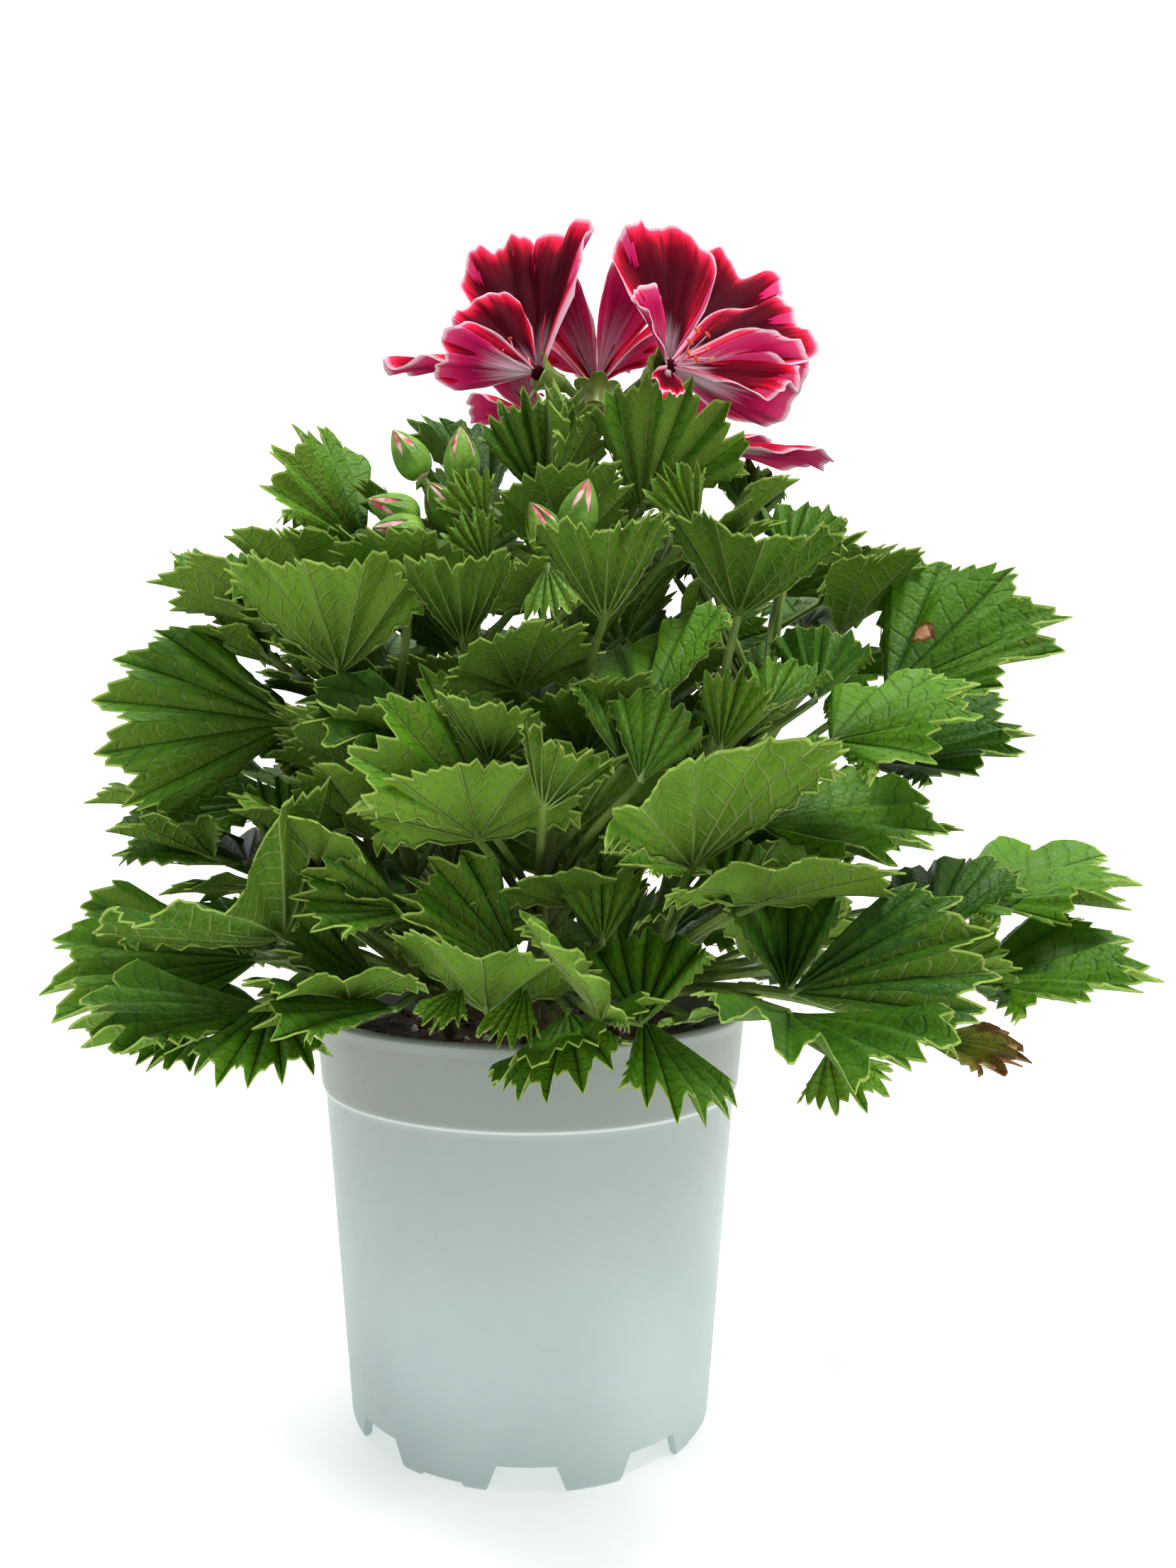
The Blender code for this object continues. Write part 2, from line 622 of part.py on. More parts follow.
def crossed_faces(bm, pair):
    """The faces that hold both vertices of a pair but no edge between them, convex ones first."""
    first, second = (bm.verts[i] for i in pair)
    faces = []
    for face in first.link_faces:
        if second in face.verts and not any(first in e.verts and second in e.verts for e in face.edges):
            faces.append(face)
    return sorted(faces, key=lambda face: (not is_convex(face), len(face.verts)))


def triangulated(bm):
    """A copy in triangles, with a middle point in any face whose diagonal another face has already."""
    while True:
        bm.verts.ensure_lookup_table()
        split = bm.copy()
        bmesh.ops.triangulate(split, faces=split.faces[:])
        crowded = [tuple(v.index for v in e.verts) for e in split.edges if len(e.link_faces) > 2]
        if not crowded:
            bm.free()
            return split
        split.free()
        for pair in crowded:
            faces = crossed_faces(bm, pair)
            if faces:
                bmesh.ops.poke(bm, faces=faces[:1])
                bm.verts.ensure_lookup_table()


def keep_largest_body(mesh):
    """Drop what a union leaves loose or sealed inside, and triangulate."""
    bm = bmesh.new()
    bm.from_mesh(mesh)
    bm = triangulated(bm)
    bm.verts.ensure_lookup_table()
    seen = set()
    bodies = []
    for start in bm.verts:
        if start in seen:
            continue
        body = []
        todo = [start]
        seen.add(start)
        while todo:
            v = todo.pop()
            body.append(v)
            for edge in v.link_edges:
                other = edge.other_vert(v)
                if other not in seen:
                    seen.add(other)
                    todo.append(other)
        bodies.append(body)
    bodies.sort(key=len)
    loose = [v for body in bodies[:-1] for v in body]
    bmesh.ops.delete(bm, geom=loose, context="VERTS")
    bm.to_mesh(mesh)
    bm.free()


# Pot


def turned(name, profile, collection, finish, sides):
    """A profile of (radius, height) points turned round the pot's axis."""
    mesh = bpy.data.meshes.new(name)
    mesh.from_pydata([(r, 0, z) for r, z in profile], [(i, i + 1) for i in range(len(profile) - 1)], [])
    made = new_object(name, mesh, collection, finish)
    screw = made.modifiers.new("turn", "SCREW")
    screw.angle = math.tau
    screw.steps = sides
    screw.render_steps = sides
    screw.use_merge_vertices = True
    screw.merge_threshold = 0.00001
    screw.use_smooth_shade = True
    return made


def pot_profile():
    """The pot's section, from the floor's middle up the inside, over the rim and down to the foot."""
    collar_foot = POT_HEIGHT - COLLAR_DROP
    floor_top = FLOOR_UNDERSIDE + FLOOR_THICKNESS
    inner_rim = RIM_RADIUS - RIM_LIP
    foot_wall = 0.0020
    step = 0.0012
    return [
        (0, floor_top),
        (BODY_FOOT_RADIUS - foot_wall, floor_top),
        (BODY_TOP_RADIUS - POT_WALL, collar_foot - 2 * step),
        (COLLAR_FOOT_RADIUS - POT_WALL, collar_foot),
        (RIM_RADIUS - POT_WALL - 0.0009, POT_HEIGHT - 0.0042),
        (inner_rim, POT_HEIGHT - 0.0012),
        (inner_rim + 0.0007, POT_HEIGHT),
        (RIM_RADIUS - 0.0008, POT_HEIGHT),
        (RIM_RADIUS, POT_HEIGHT - 0.0010),
        (RIM_RADIUS - 0.0007, POT_HEIGHT - 0.0034),
        (COLLAR_FOOT_RADIUS, collar_foot + step),
        (BODY_TOP_RADIUS, collar_foot - step),
        (BODY_FOOT_RADIUS + 0.0002, 0.0012),
        (BODY_FOOT_RADIUS - 0.0005, 0),
        (BODY_FOOT_RADIUS - foot_wall - 0.0004, 0),
        (BODY_FOOT_RADIUS - foot_wall, FLOOR_UNDERSIDE),
        (0, FLOOR_UNDERSIDE),
    ]


def notch_cutter(name, angle, top, foot, height, collection):
    """A wedge that cuts one notch out of the foot, wider at the bottom."""
    bm = bmesh.new()
    bmesh.ops.create_cube(bm, size=1)
    reach = 0.022
    below = 0.004
    for v in bm.verts:
        upper = v.co.z > 0
        width = top if upper else foot + (foot - top) * below / height
        v.co.x *= width
        v.co.y *= reach
        v.co.z = height if upper else -below
    made = new_object(name, mesh_from(bm, name), collection)
    made.location = direction(angle, 0) * BODY_FOOT_RADIUS
    made.rotation_euler.z = math.radians(angle)
    made.display_type = "WIRE"
    made.hide_render = True
    return made


def drain_cutter(name, angle, collection):
    """A round hole through the floor."""
    bm = bmesh.new()
    bmesh.ops.create_cone(
        bm, cap_ends=True, segments=12, radius1=DRAIN_RADIUS, radius2=DRAIN_RADIUS, depth=0.01
    )
    made = new_object(name, mesh_from(bm, name), collection)
    made.location = direction(angle, 0) * DRAIN_CIRCLE + UP * FLOOR_UNDERSIDE
    made.display_type = "WIRE"
    made.hide_render = True
    return made


def cut_by(target, collection):
    """Cut every object of a collection out of the target."""
    cut = target.modifiers.new("cut", "BOOLEAN")
    cut.operation = "DIFFERENCE"
    cut.operand_type = "COLLECTION"
    cut.collection = collection


def make_pot(parts, cutters):
    """The pot, with its notched foot and its drain holes."""
    pot = turned("pot", pot_profile(), parts, "pot", POT_SIDES)
    openings = bpy.data.collections.new("pot_cutters")
    cutters.children.link(openings)
    for quarter in range(FOOT_REPEATS):
        start = quarter * 360 / FOOT_REPEATS
        for angle in DEEP_NOTCH_ANGLES:
            notch_cutter(
                f"deep_notch_{start:.0f}_{angle:.0f}", start + angle,
                DEEP_NOTCH_TOP, DEEP_NOTCH_FOOT, DEEP_NOTCH_HEIGHT, openings,
            )
        notch_cutter(
            f"shallow_notch_{start:.0f}", start + SHALLOW_NOTCH_ANGLE,
            SHALLOW_NOTCH_WIDTH, SHALLOW_NOTCH_WIDTH * 1.1, SHALLOW_NOTCH_HEIGHT, openings,
        )
    for i in range(DRAIN_COUNT):
        drain_cutter(f"drain_{i}", (i + 0.5) * 360 / DRAIN_COUNT, openings)
    cut_by(pot, openings)
    return pot


# Soil


def soil_profile():
    """The soil's section: its surface sinks a little to the wall, which it follows down to the floor."""
    floor_top = FLOOR_UNDERSIDE + FLOOR_THICKNESS + GAP
    collar_foot = POT_HEIGHT - COLLAR_DROP
    inner_foot = BODY_FOOT_RADIUS - 0.0020 - 2 * GAP
    inner_top = BODY_TOP_RADIUS - POT_WALL - 2 * GAP
    edge = COLLAR_FOOT_RADIUS - POT_WALL - 2 * GAP
    surface = [(edge * share, SOIL_TOP - 0.0025 * share ** 3) for share in (0, 0.3, 0.55, 0.78, 0.93, 1)]
    return surface + [(edge, collar_foot), (inner_top, collar_foot - 0.003), (inner_foot, floor_top), (0, floor_top)]


def make_soil(parts, cutters):
    """The soil, uneven on top, with a plain hole for each stem."""
    soil = turned("soil", soil_profile(), parts, "soil", POT_SIDES // 2)
    mesh = bpy.data.meshes.new_from_object(
        soil.evaluated_get(bpy.context.evaluated_depsgraph_get())
    )
    soil.modifiers.clear()
    soil.data = mesh
    for v in mesh.vertices:
        if v.co.z > SOIL_TOP - 0.004 and math.hypot(v.co.x, v.co.y) < COLLAR_FOOT_RADIUS - 0.004:
            v.co.z += SOIL_BUMP * math.sin(v.co.x * 310 + 1) * math.cos(v.co.y * 270 + v.co.x * 90)
    holes = bpy.data.collections.new("soil_cutters")
    cutters.children.link(holes)
    for name in STEMS:
        bm = bmesh.new()
        radius = STEM_RADIUS + HOLE_GAP
        depth = STEM_SINK + HOLE_GAP + 0.02
        bmesh.ops.create_cone(
            bm, cap_ends=True, segments=HOLE_SIDES, radius1=radius, radius2=radius, depth=depth
        )
        hole = new_object(name + "_hole", mesh_from(bm, name + "_hole"), holes)
        foot = Vector(STEMS[name][0]) * MM
        hole.location = foot + UP * (depth / 2 - STEM_SINK - HOLE_GAP)
        hole.display_type = "WIRE"
        hole.hide_render = True
    cut_by(soil, holes)
    return soil


# Blooms


def bloom_axes(facing):
    """Axes with +Z along the way that a bloom faces."""
    return Vector(facing).normalized().to_track_quat("Z", "Y")


def bloom_petals(bloom):
    """The petals of a bloom that the front shows, from its table."""
    x, y, z = bloom.throat
    return [Blade("petal", bloom.name, x, y, z, *row) for row in bloom.petals]


def rule_petals(bloom):
    """Five petals opened evenly round the way that a bloom faces, the upper two larger."""
    x, y, z = bloom.throat
    axes = bloom_axes(bloom.facing)
    petals = []
    for i in range(PETAL_COUNT):
        angle = math.radians(bloom.phase + 360 / PETAL_COUNT * i)
        opening = math.radians(bloom.opening)
        local = Vector((math.sin(opening) * math.cos(angle), math.sin(opening) * math.sin(angle), math.cos(opening)))
        rib = axes @ local
        heading = math.degrees(math.atan2(rib.x, -rib.y))
        rise = math.degrees(math.asin(max(-1, min(1, rib.z))))
        natural = direction(heading, rise + 90)
        inward = (axes @ Vector((0, 0, 1))) - rib * (axes @ Vector((0, 0, 1))).dot(rib)
        turn = math.degrees(math.atan2(natural.cross(inward).dot(rib), natural.dot(inward)))
        size = bloom.size * (1.08 if rib.z > 0.3 else 0.92)
        petals.append(Blade("petal", bloom.name, x, y, z, heading, rise, turn, size, bloom.fan, 12, 0, 14))
    return petals


def all_petals(fixed):
    """The petals of every bloom, each bent clear of the other blooms."""
    placed = []
    petals = []
    for bloom in BLOOMS + RULE_BLOOMS:
        rows = bloom_petals(bloom) if hasattr(bloom, "petals") else rule_petals(bloom)
        for blade in rows:
            clear = bent_clear(blade, placed, fixed)
            if clear is None:
                print("petal left out:", blade)
                continue
            petals.append(clear)
            placed.append((bloom.name, [blade_probe(clear)]))
    return petals


def make_bloom(bloom, petals, parts):
    """The corolla: petals joined at a small round throat."""
    bm = bmesh.new()
    bmesh.ops.create_icosphere(bm, subdivisions=1, radius=THROAT_RADIUS)
    bmesh.ops.translate(bm, verts=bm.verts[:], vec=Vector(bloom.throat) * MM)
    throat = mesh_from(bm, bloom.name + "_throat")
    blades = [
        mesh_from(blade_bmesh(blade, PETAL_THICKNESS), bloom.name + "_petal")
        for blade in petals if blade.stem == bloom.name
    ]
    return joined(bloom.name, throat, blades, parts, "petal")


def calyx(bloom):
    """A green cup behind the throat, its rim drawn out into five pointed sepals."""
    axes = bloom_axes(bloom.facing)
    bm = bmesh.new()
    bmesh.ops.create_cone(
        bm, cap_ends=True, segments=2 * PETAL_COUNT,
        radius1=PEDICEL_RADIUS, radius2=CALYX_RADIUS, depth=CALYX_LENGTH,
    )
    rim = sorted((v for v in bm.verts if v.co.z > 0), key=lambda v: math.atan2(v.co.y, v.co.x))
    for v in rim[::2]:
        v.co += Vector((v.co.x, v.co.y, 0)).normalized() * SEPAL_REACH - UP * SEPAL_DROOP
    bmesh.ops.triangulate(bm, faces=bm.faces[:])
    centre = Vector(bloom.throat) * MM
    behind = THROAT_RADIUS + GAP + CALYX_LENGTH / 2
    bmesh.ops.transform(
        bm, verts=bm.verts[:],
        matrix=Matrix.Translation(centre) @ axes.to_matrix().to_4x4() @ Matrix.Translation((0, 0, -behind)),
    )
    return mesh_from(bm, "calyx")


def pedicel_points(bloom):
    """A bloom's stalk, from the head of the umbel into the calyx."""
    head = Vector(STEMS["flowering_stem"][-1]) * MM
    back = bloom_axes(bloom.facing) @ Vector((0, 0, -1))
    end = Vector(bloom.throat) * MM + back * (THROAT_RADIUS + GAP + CALYX_LENGTH * 0.7)
    bend = end + back * 0.4 * (end - head).length
    start = head - UP * 1.5 * MM
    return [start.lerp(bend, u).lerp(bend.lerp(end, u), u) for u in (0, 0.33, 0.67, 1)]


# Buds


def bud(head, tip):
    """A pointed bud on its short stalk, as two meshes."""
    start = Vector(head) * MM
    end = Vector(tip) * MM
    along = (end - start).normalized()
    bm = bmesh.new()
    bmesh.ops.create_uvsphere(bm, u_segments=6, v_segments=5, radius=1)
    for v in bm.verts:
        taper = 1 - 0.35 * max(0, v.co.z)
        v.co = Vector((v.co.x * BUD_RADIUS * taper, v.co.y * BUD_RADIUS * taper, v.co.z * BUD_LENGTH / 2))
    bmesh.ops.triangulate(bm, faces=bm.faces[:])
    place = Matrix.Translation(end - along * BUD_LENGTH / 2) @ along.to_track_quat("Z", "Y").to_matrix().to_4x4()
    bmesh.ops.transform(bm, verts=bm.verts[:], matrix=place)
    body = mesh_from(bm, "bud")
    points = [start - along * 1.0 * MM, start.lerp(end, 0.5), end - along * BUD_LENGTH * 0.6]
    stalk = tube("bud_stalk", points, tapered(3, PEDICEL_RADIUS, PEDICEL_RADIUS), STALK_SIDES)
    return [body, stalk]


def make_stem(name, leaves, extras, parts):
    """A stem with its leaves and whatever else it bears, as one solid."""
    path = stem_points(name)
    radii = [STEM_RADIUS, STEM_RADIUS] + tapered(len(path) - 2, STEM_RADIUS * 0.92, STEM_TIP_RADIUS)
    pieces = []
    for blade in leaves:
        if blade.stem != name:
            continue
        pieces.append(mesh_from(blade_bmesh(blade, LEAF_THICKNESS), name + "_blade"))
        points = stalk_points(blade)
        radii_along = tapered(len(points), STALK_RADIUS, STALK_END_RADIUS)
        pieces.append(tube(name + "_stalk", points, radii_along, STALK_SIDES))
    return joined(name, tube(name, path, radii, STEM_SIDES), pieces + extras, parts, "leaf")


def main():
    for old in list(bpy.data.objects):
        bpy.data.objects.remove(old)
    parts = bpy.data.collections.new("regal_pelargonium")
    cutters = bpy.data.collections.new("cutters")
    bpy.context.scene.collection.children.link(parts)
    bpy.context.scene.collection.children.link(cutters)

    pot = make_pot(parts, cutters)
    soil = make_soil(parts, cutters)
    blooms = BLOOMS + RULE_BLOOMS

    green = {name: [] for name in STEMS}
    for bloom in blooms:
        green["flowering_stem"].append(calyx(bloom))
        points = pedicel_points(bloom)
        green["flowering_stem"].append(
            tube("pedicel", points, tapered(len(points), PEDICEL_RADIUS, PEDICEL_RADIUS), STALK_SIDES)
        )
    for bunch in BUNCHES:
        for tip in bunch.tips:
            green[bunch.stem] += bud(bunch.head, tip)

    bpy.context.view_layer.update()
    graph = bpy.context.evaluated_depsgraph_get()
    pot_tree = BVHTree.FromObject(pot, graph)
    soil_tree = BVHTree.FromObject(soil, graph)
    green_trees = []
    for meshes in green.values():
        for mesh in meshes:
            points = [v.co.copy() for v in mesh.vertices]
            green_trees.append(BVHTree.FromPolygons(points, [tuple(p.vertices) for p in mesh.polygons]))
    petals = all_petals([])
    petal_trees = [blade_probe(blade) for blade in petals]
    leaves = placed_leaves([pot_tree, soil_tree] + green_trees + petal_trees)

    for name in STEMS:
        make_stem(name, leaves, green[name], parts)
    for bloom in blooms:
        make_bloom(bloom, petals, parts)

    bpy.context.view_layer.update()
    corners = [v.co for o in parts.objects if o.name not in ("pot", "soil") for v in o.data.vertices]
    low = Vector((min(c.x for c in corners), min(c.y for c in corners), 0))
    high = Vector((max(c.x for c in corners), max(c.y for c in corners), 0))
    middle = (low + high) / 2
    place = bpy.data.objects.new("plant_place", None)
    bpy.context.scene.collection.objects.link(place)
    place.location = -middle
    for made in list(parts.objects) + list(cutters.all_objects):
        made.parent = place
    print("leaves", len(leaves), "petals", len(petals), "middle of the box", tuple(middle))


main()
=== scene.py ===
"""Regal pelargonium in its pot: the finished plant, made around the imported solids.

Lengths are metres, and the tables of leaves and petals are millimetres and degrees. The plant is laid out
with the pot's axis as the Z axis and its front towards -Y, by the same tables and rules as the solids, and
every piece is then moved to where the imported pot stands.
"""

import json
import math
import random
from collections import namedtuple
from functools import partial

import bmesh
import bpy
from mathutils import Matrix, Quaternion, Vector
from mathutils.bvhtree import BVHTree

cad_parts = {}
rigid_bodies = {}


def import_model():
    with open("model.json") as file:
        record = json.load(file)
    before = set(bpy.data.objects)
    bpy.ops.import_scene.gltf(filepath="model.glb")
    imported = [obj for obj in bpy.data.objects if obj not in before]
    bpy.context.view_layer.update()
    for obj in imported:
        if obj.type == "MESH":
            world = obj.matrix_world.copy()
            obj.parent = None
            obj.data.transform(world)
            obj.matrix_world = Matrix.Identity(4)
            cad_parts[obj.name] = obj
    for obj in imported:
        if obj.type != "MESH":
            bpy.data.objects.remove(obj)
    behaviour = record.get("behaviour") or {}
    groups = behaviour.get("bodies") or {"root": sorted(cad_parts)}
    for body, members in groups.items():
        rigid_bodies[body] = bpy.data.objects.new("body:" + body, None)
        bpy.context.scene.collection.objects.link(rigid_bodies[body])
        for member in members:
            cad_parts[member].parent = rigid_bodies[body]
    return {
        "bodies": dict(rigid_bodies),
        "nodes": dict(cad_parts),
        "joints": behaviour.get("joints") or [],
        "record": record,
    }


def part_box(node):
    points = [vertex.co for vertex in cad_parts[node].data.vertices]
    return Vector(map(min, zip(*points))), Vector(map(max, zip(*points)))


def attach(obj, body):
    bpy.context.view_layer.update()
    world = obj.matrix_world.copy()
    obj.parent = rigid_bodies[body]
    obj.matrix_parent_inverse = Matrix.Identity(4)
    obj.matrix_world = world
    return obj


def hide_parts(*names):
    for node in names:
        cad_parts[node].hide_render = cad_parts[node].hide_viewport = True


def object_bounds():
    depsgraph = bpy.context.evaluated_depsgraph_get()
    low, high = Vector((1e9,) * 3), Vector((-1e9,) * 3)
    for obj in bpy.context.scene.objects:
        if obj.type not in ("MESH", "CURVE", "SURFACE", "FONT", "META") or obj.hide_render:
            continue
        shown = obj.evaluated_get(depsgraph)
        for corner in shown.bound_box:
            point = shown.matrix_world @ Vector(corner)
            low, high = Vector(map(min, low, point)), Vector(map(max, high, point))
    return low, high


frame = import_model()
SOLID_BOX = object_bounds()

MM = 0.001
UP = Vector((0, 0, 1))
# Where the unevenness of the leaves, petals, hairs and soil starts
DRAW_SEED = 11

# The photograph's frame in pixels, and where its camera stands from the pot's axis
FRAME_WIDTH = 1659
FRAME_HEIGHT = 2212
FOCAL_PIXELS = 1808.1
CAMERA_PLACE = (0, -0.35968, 0.17680)
CAMERA_DROP = 0.0114
AXIS_PIXEL = 747.56
SENSOR_HEIGHT = 36

# Studio: the floor's and the backdrop's radius, how far off the backdrop is, how strong the sky is, and each
# light's place, size and power
FLOOR_REACH = 6
BACKDROP_REACH = 5
BACKDROP_AWAY = 2.6
SKY_STRENGTH = 0.36
LIGHTS = (
    ("key", (0.42, -0.34, 1.30), 0.45, 16.5),
    ("top", (-0.40, 0.10, 1.25), 0.6, 6.0),
    ("fill", (1.00, -0.80, 0.20), 0.8, 2.2),
)
LIGHTS_AIM = (0, 0, 0.16)

# Pot
POT_HEIGHT = 0.112
RIM_RADIUS = 0.060
RIM_LIP = 0.0026
COLLAR_FOOT_RADIUS = 0.0577
COLLAR_DROP = 0.0216
BODY_TOP_RADIUS = 0.0566
BODY_FOOT_RADIUS = 0.0493
POT_WALL = 0.0015
FOOT_WALL = 0.0020
FLOOR_UNDERSIDE = 0.0085
FLOOR_THICKNESS = 0.0016
POT_SIDES = 144
FOOT_REPEATS = 4
DEEP_NOTCH_ANGLES = (-1.0, 38.5)
DEEP_NOTCH_HEIGHT = 0.007
DEEP_NOTCH_TOP = 0.0146
DEEP_NOTCH_FOOT = 0.020
SHALLOW_NOTCH_ANGLE = 63.5
SHALLOW_NOTCH_HEIGHT = 0.0015
SHALLOW_NOTCH_WIDTH = 0.0115
DRAIN_RADIUS = 0.004
DRAIN_CIRCLE = 0.026
DRAIN_COUNT = 6

# Soil
SOIL_TOP = 0.103
SOIL_BUMP = 0.0014
SOIL_DISH = 0.0025
GAP = 0.0003
STEM_SINK = 0.014
CRUMB_COUNT = 420
SOIL_RINGS = 24
SOIL_SIDES = 96

# The solids' blades, which the finished ones follow
LEAF_THICKNESS = 0.0008
PETAL_THICKNESS = 0.0007
CLEARANCE = 0.0005
FOLD_ROUNDING = 0.12
SIDE_SHORTENING = 0.16
STEM_RADIUS = 0.0030
STEM_TIP_RADIUS = 0.0019
STALK_RADIUS = 0.0014
STALK_ROOT = 0.0012
RIM_CLEARANCE = 0.006
STALK_STEPS = 2
PEDICEL_RADIUS = 0.0011

Kind = namedtuple("Kind", "columns inner rim_cuts waves wave lobe_depth tooth claw rounding")
KINDS = {
    "leaf": Kind(2, 0.16, 5, 6, 0.045, 0.10, 0.09, 1.0, 0.0),
    "inner_leaf": Kind(2, 0.16, 3, 6, 0.045, 0.10, 0.09, 1.0, 0.0),
    "petal": Kind(4, 0.50, 1, 3, 0.055, 0.0, 0.0, 0.55, 0.34),
}
LARGE_LEAF = 45
LARGE_LEAF_CUTS = 7

Blade = namedtuple("Blade", "kind stem x y z heading rise turn size fan fold funnel curl")

# Stems: their points from the soil up, in millimetres
STEMS = {
    "stem_front": ((0, -22, 103), (1, -30, 125), (4, -38, 155), (10, -40, 186)),
    "stem_front_left": ((-20, -14, 103), (-27, -22, 128), (-32, -30, 160), (-34, -34, 192)),
    "stem_left": ((-27, 5, 103), (-38, 5, 130), (-46, 5, 165), (-46, 8, 214)),
    "stem_back_left": ((-15, 24, 103), (-22, 36, 130), (-28, 46, 165), (-26, 48, 208)),
    "stem_back": ((8, 28, 103), (10, 44, 130), (14, 56, 160), (14, 58, 205)),
    "stem_back_right": ((26, 17, 103), (38, 28, 130), (48, 36, 165), (47, 36, 215)),
    "stem_right": ((29, -5, 103), (44, -8, 128), (58, -10, 155), (64, -12, 190)),
    "stem_front_right": ((19, -21, 103), (30, -34, 126), (38, -44, 150), (44, -48, 182)),
    "flowering_stem": ((4, 5, 103), (6, 4, 140), (10, 0, 190), (13, -1, 230), (14, 0, 262)),
    "budding_stem": ((-8, -3, 103), (-10, -6, 140), (-14, -12, 190), (-18, -20, 238)),
}

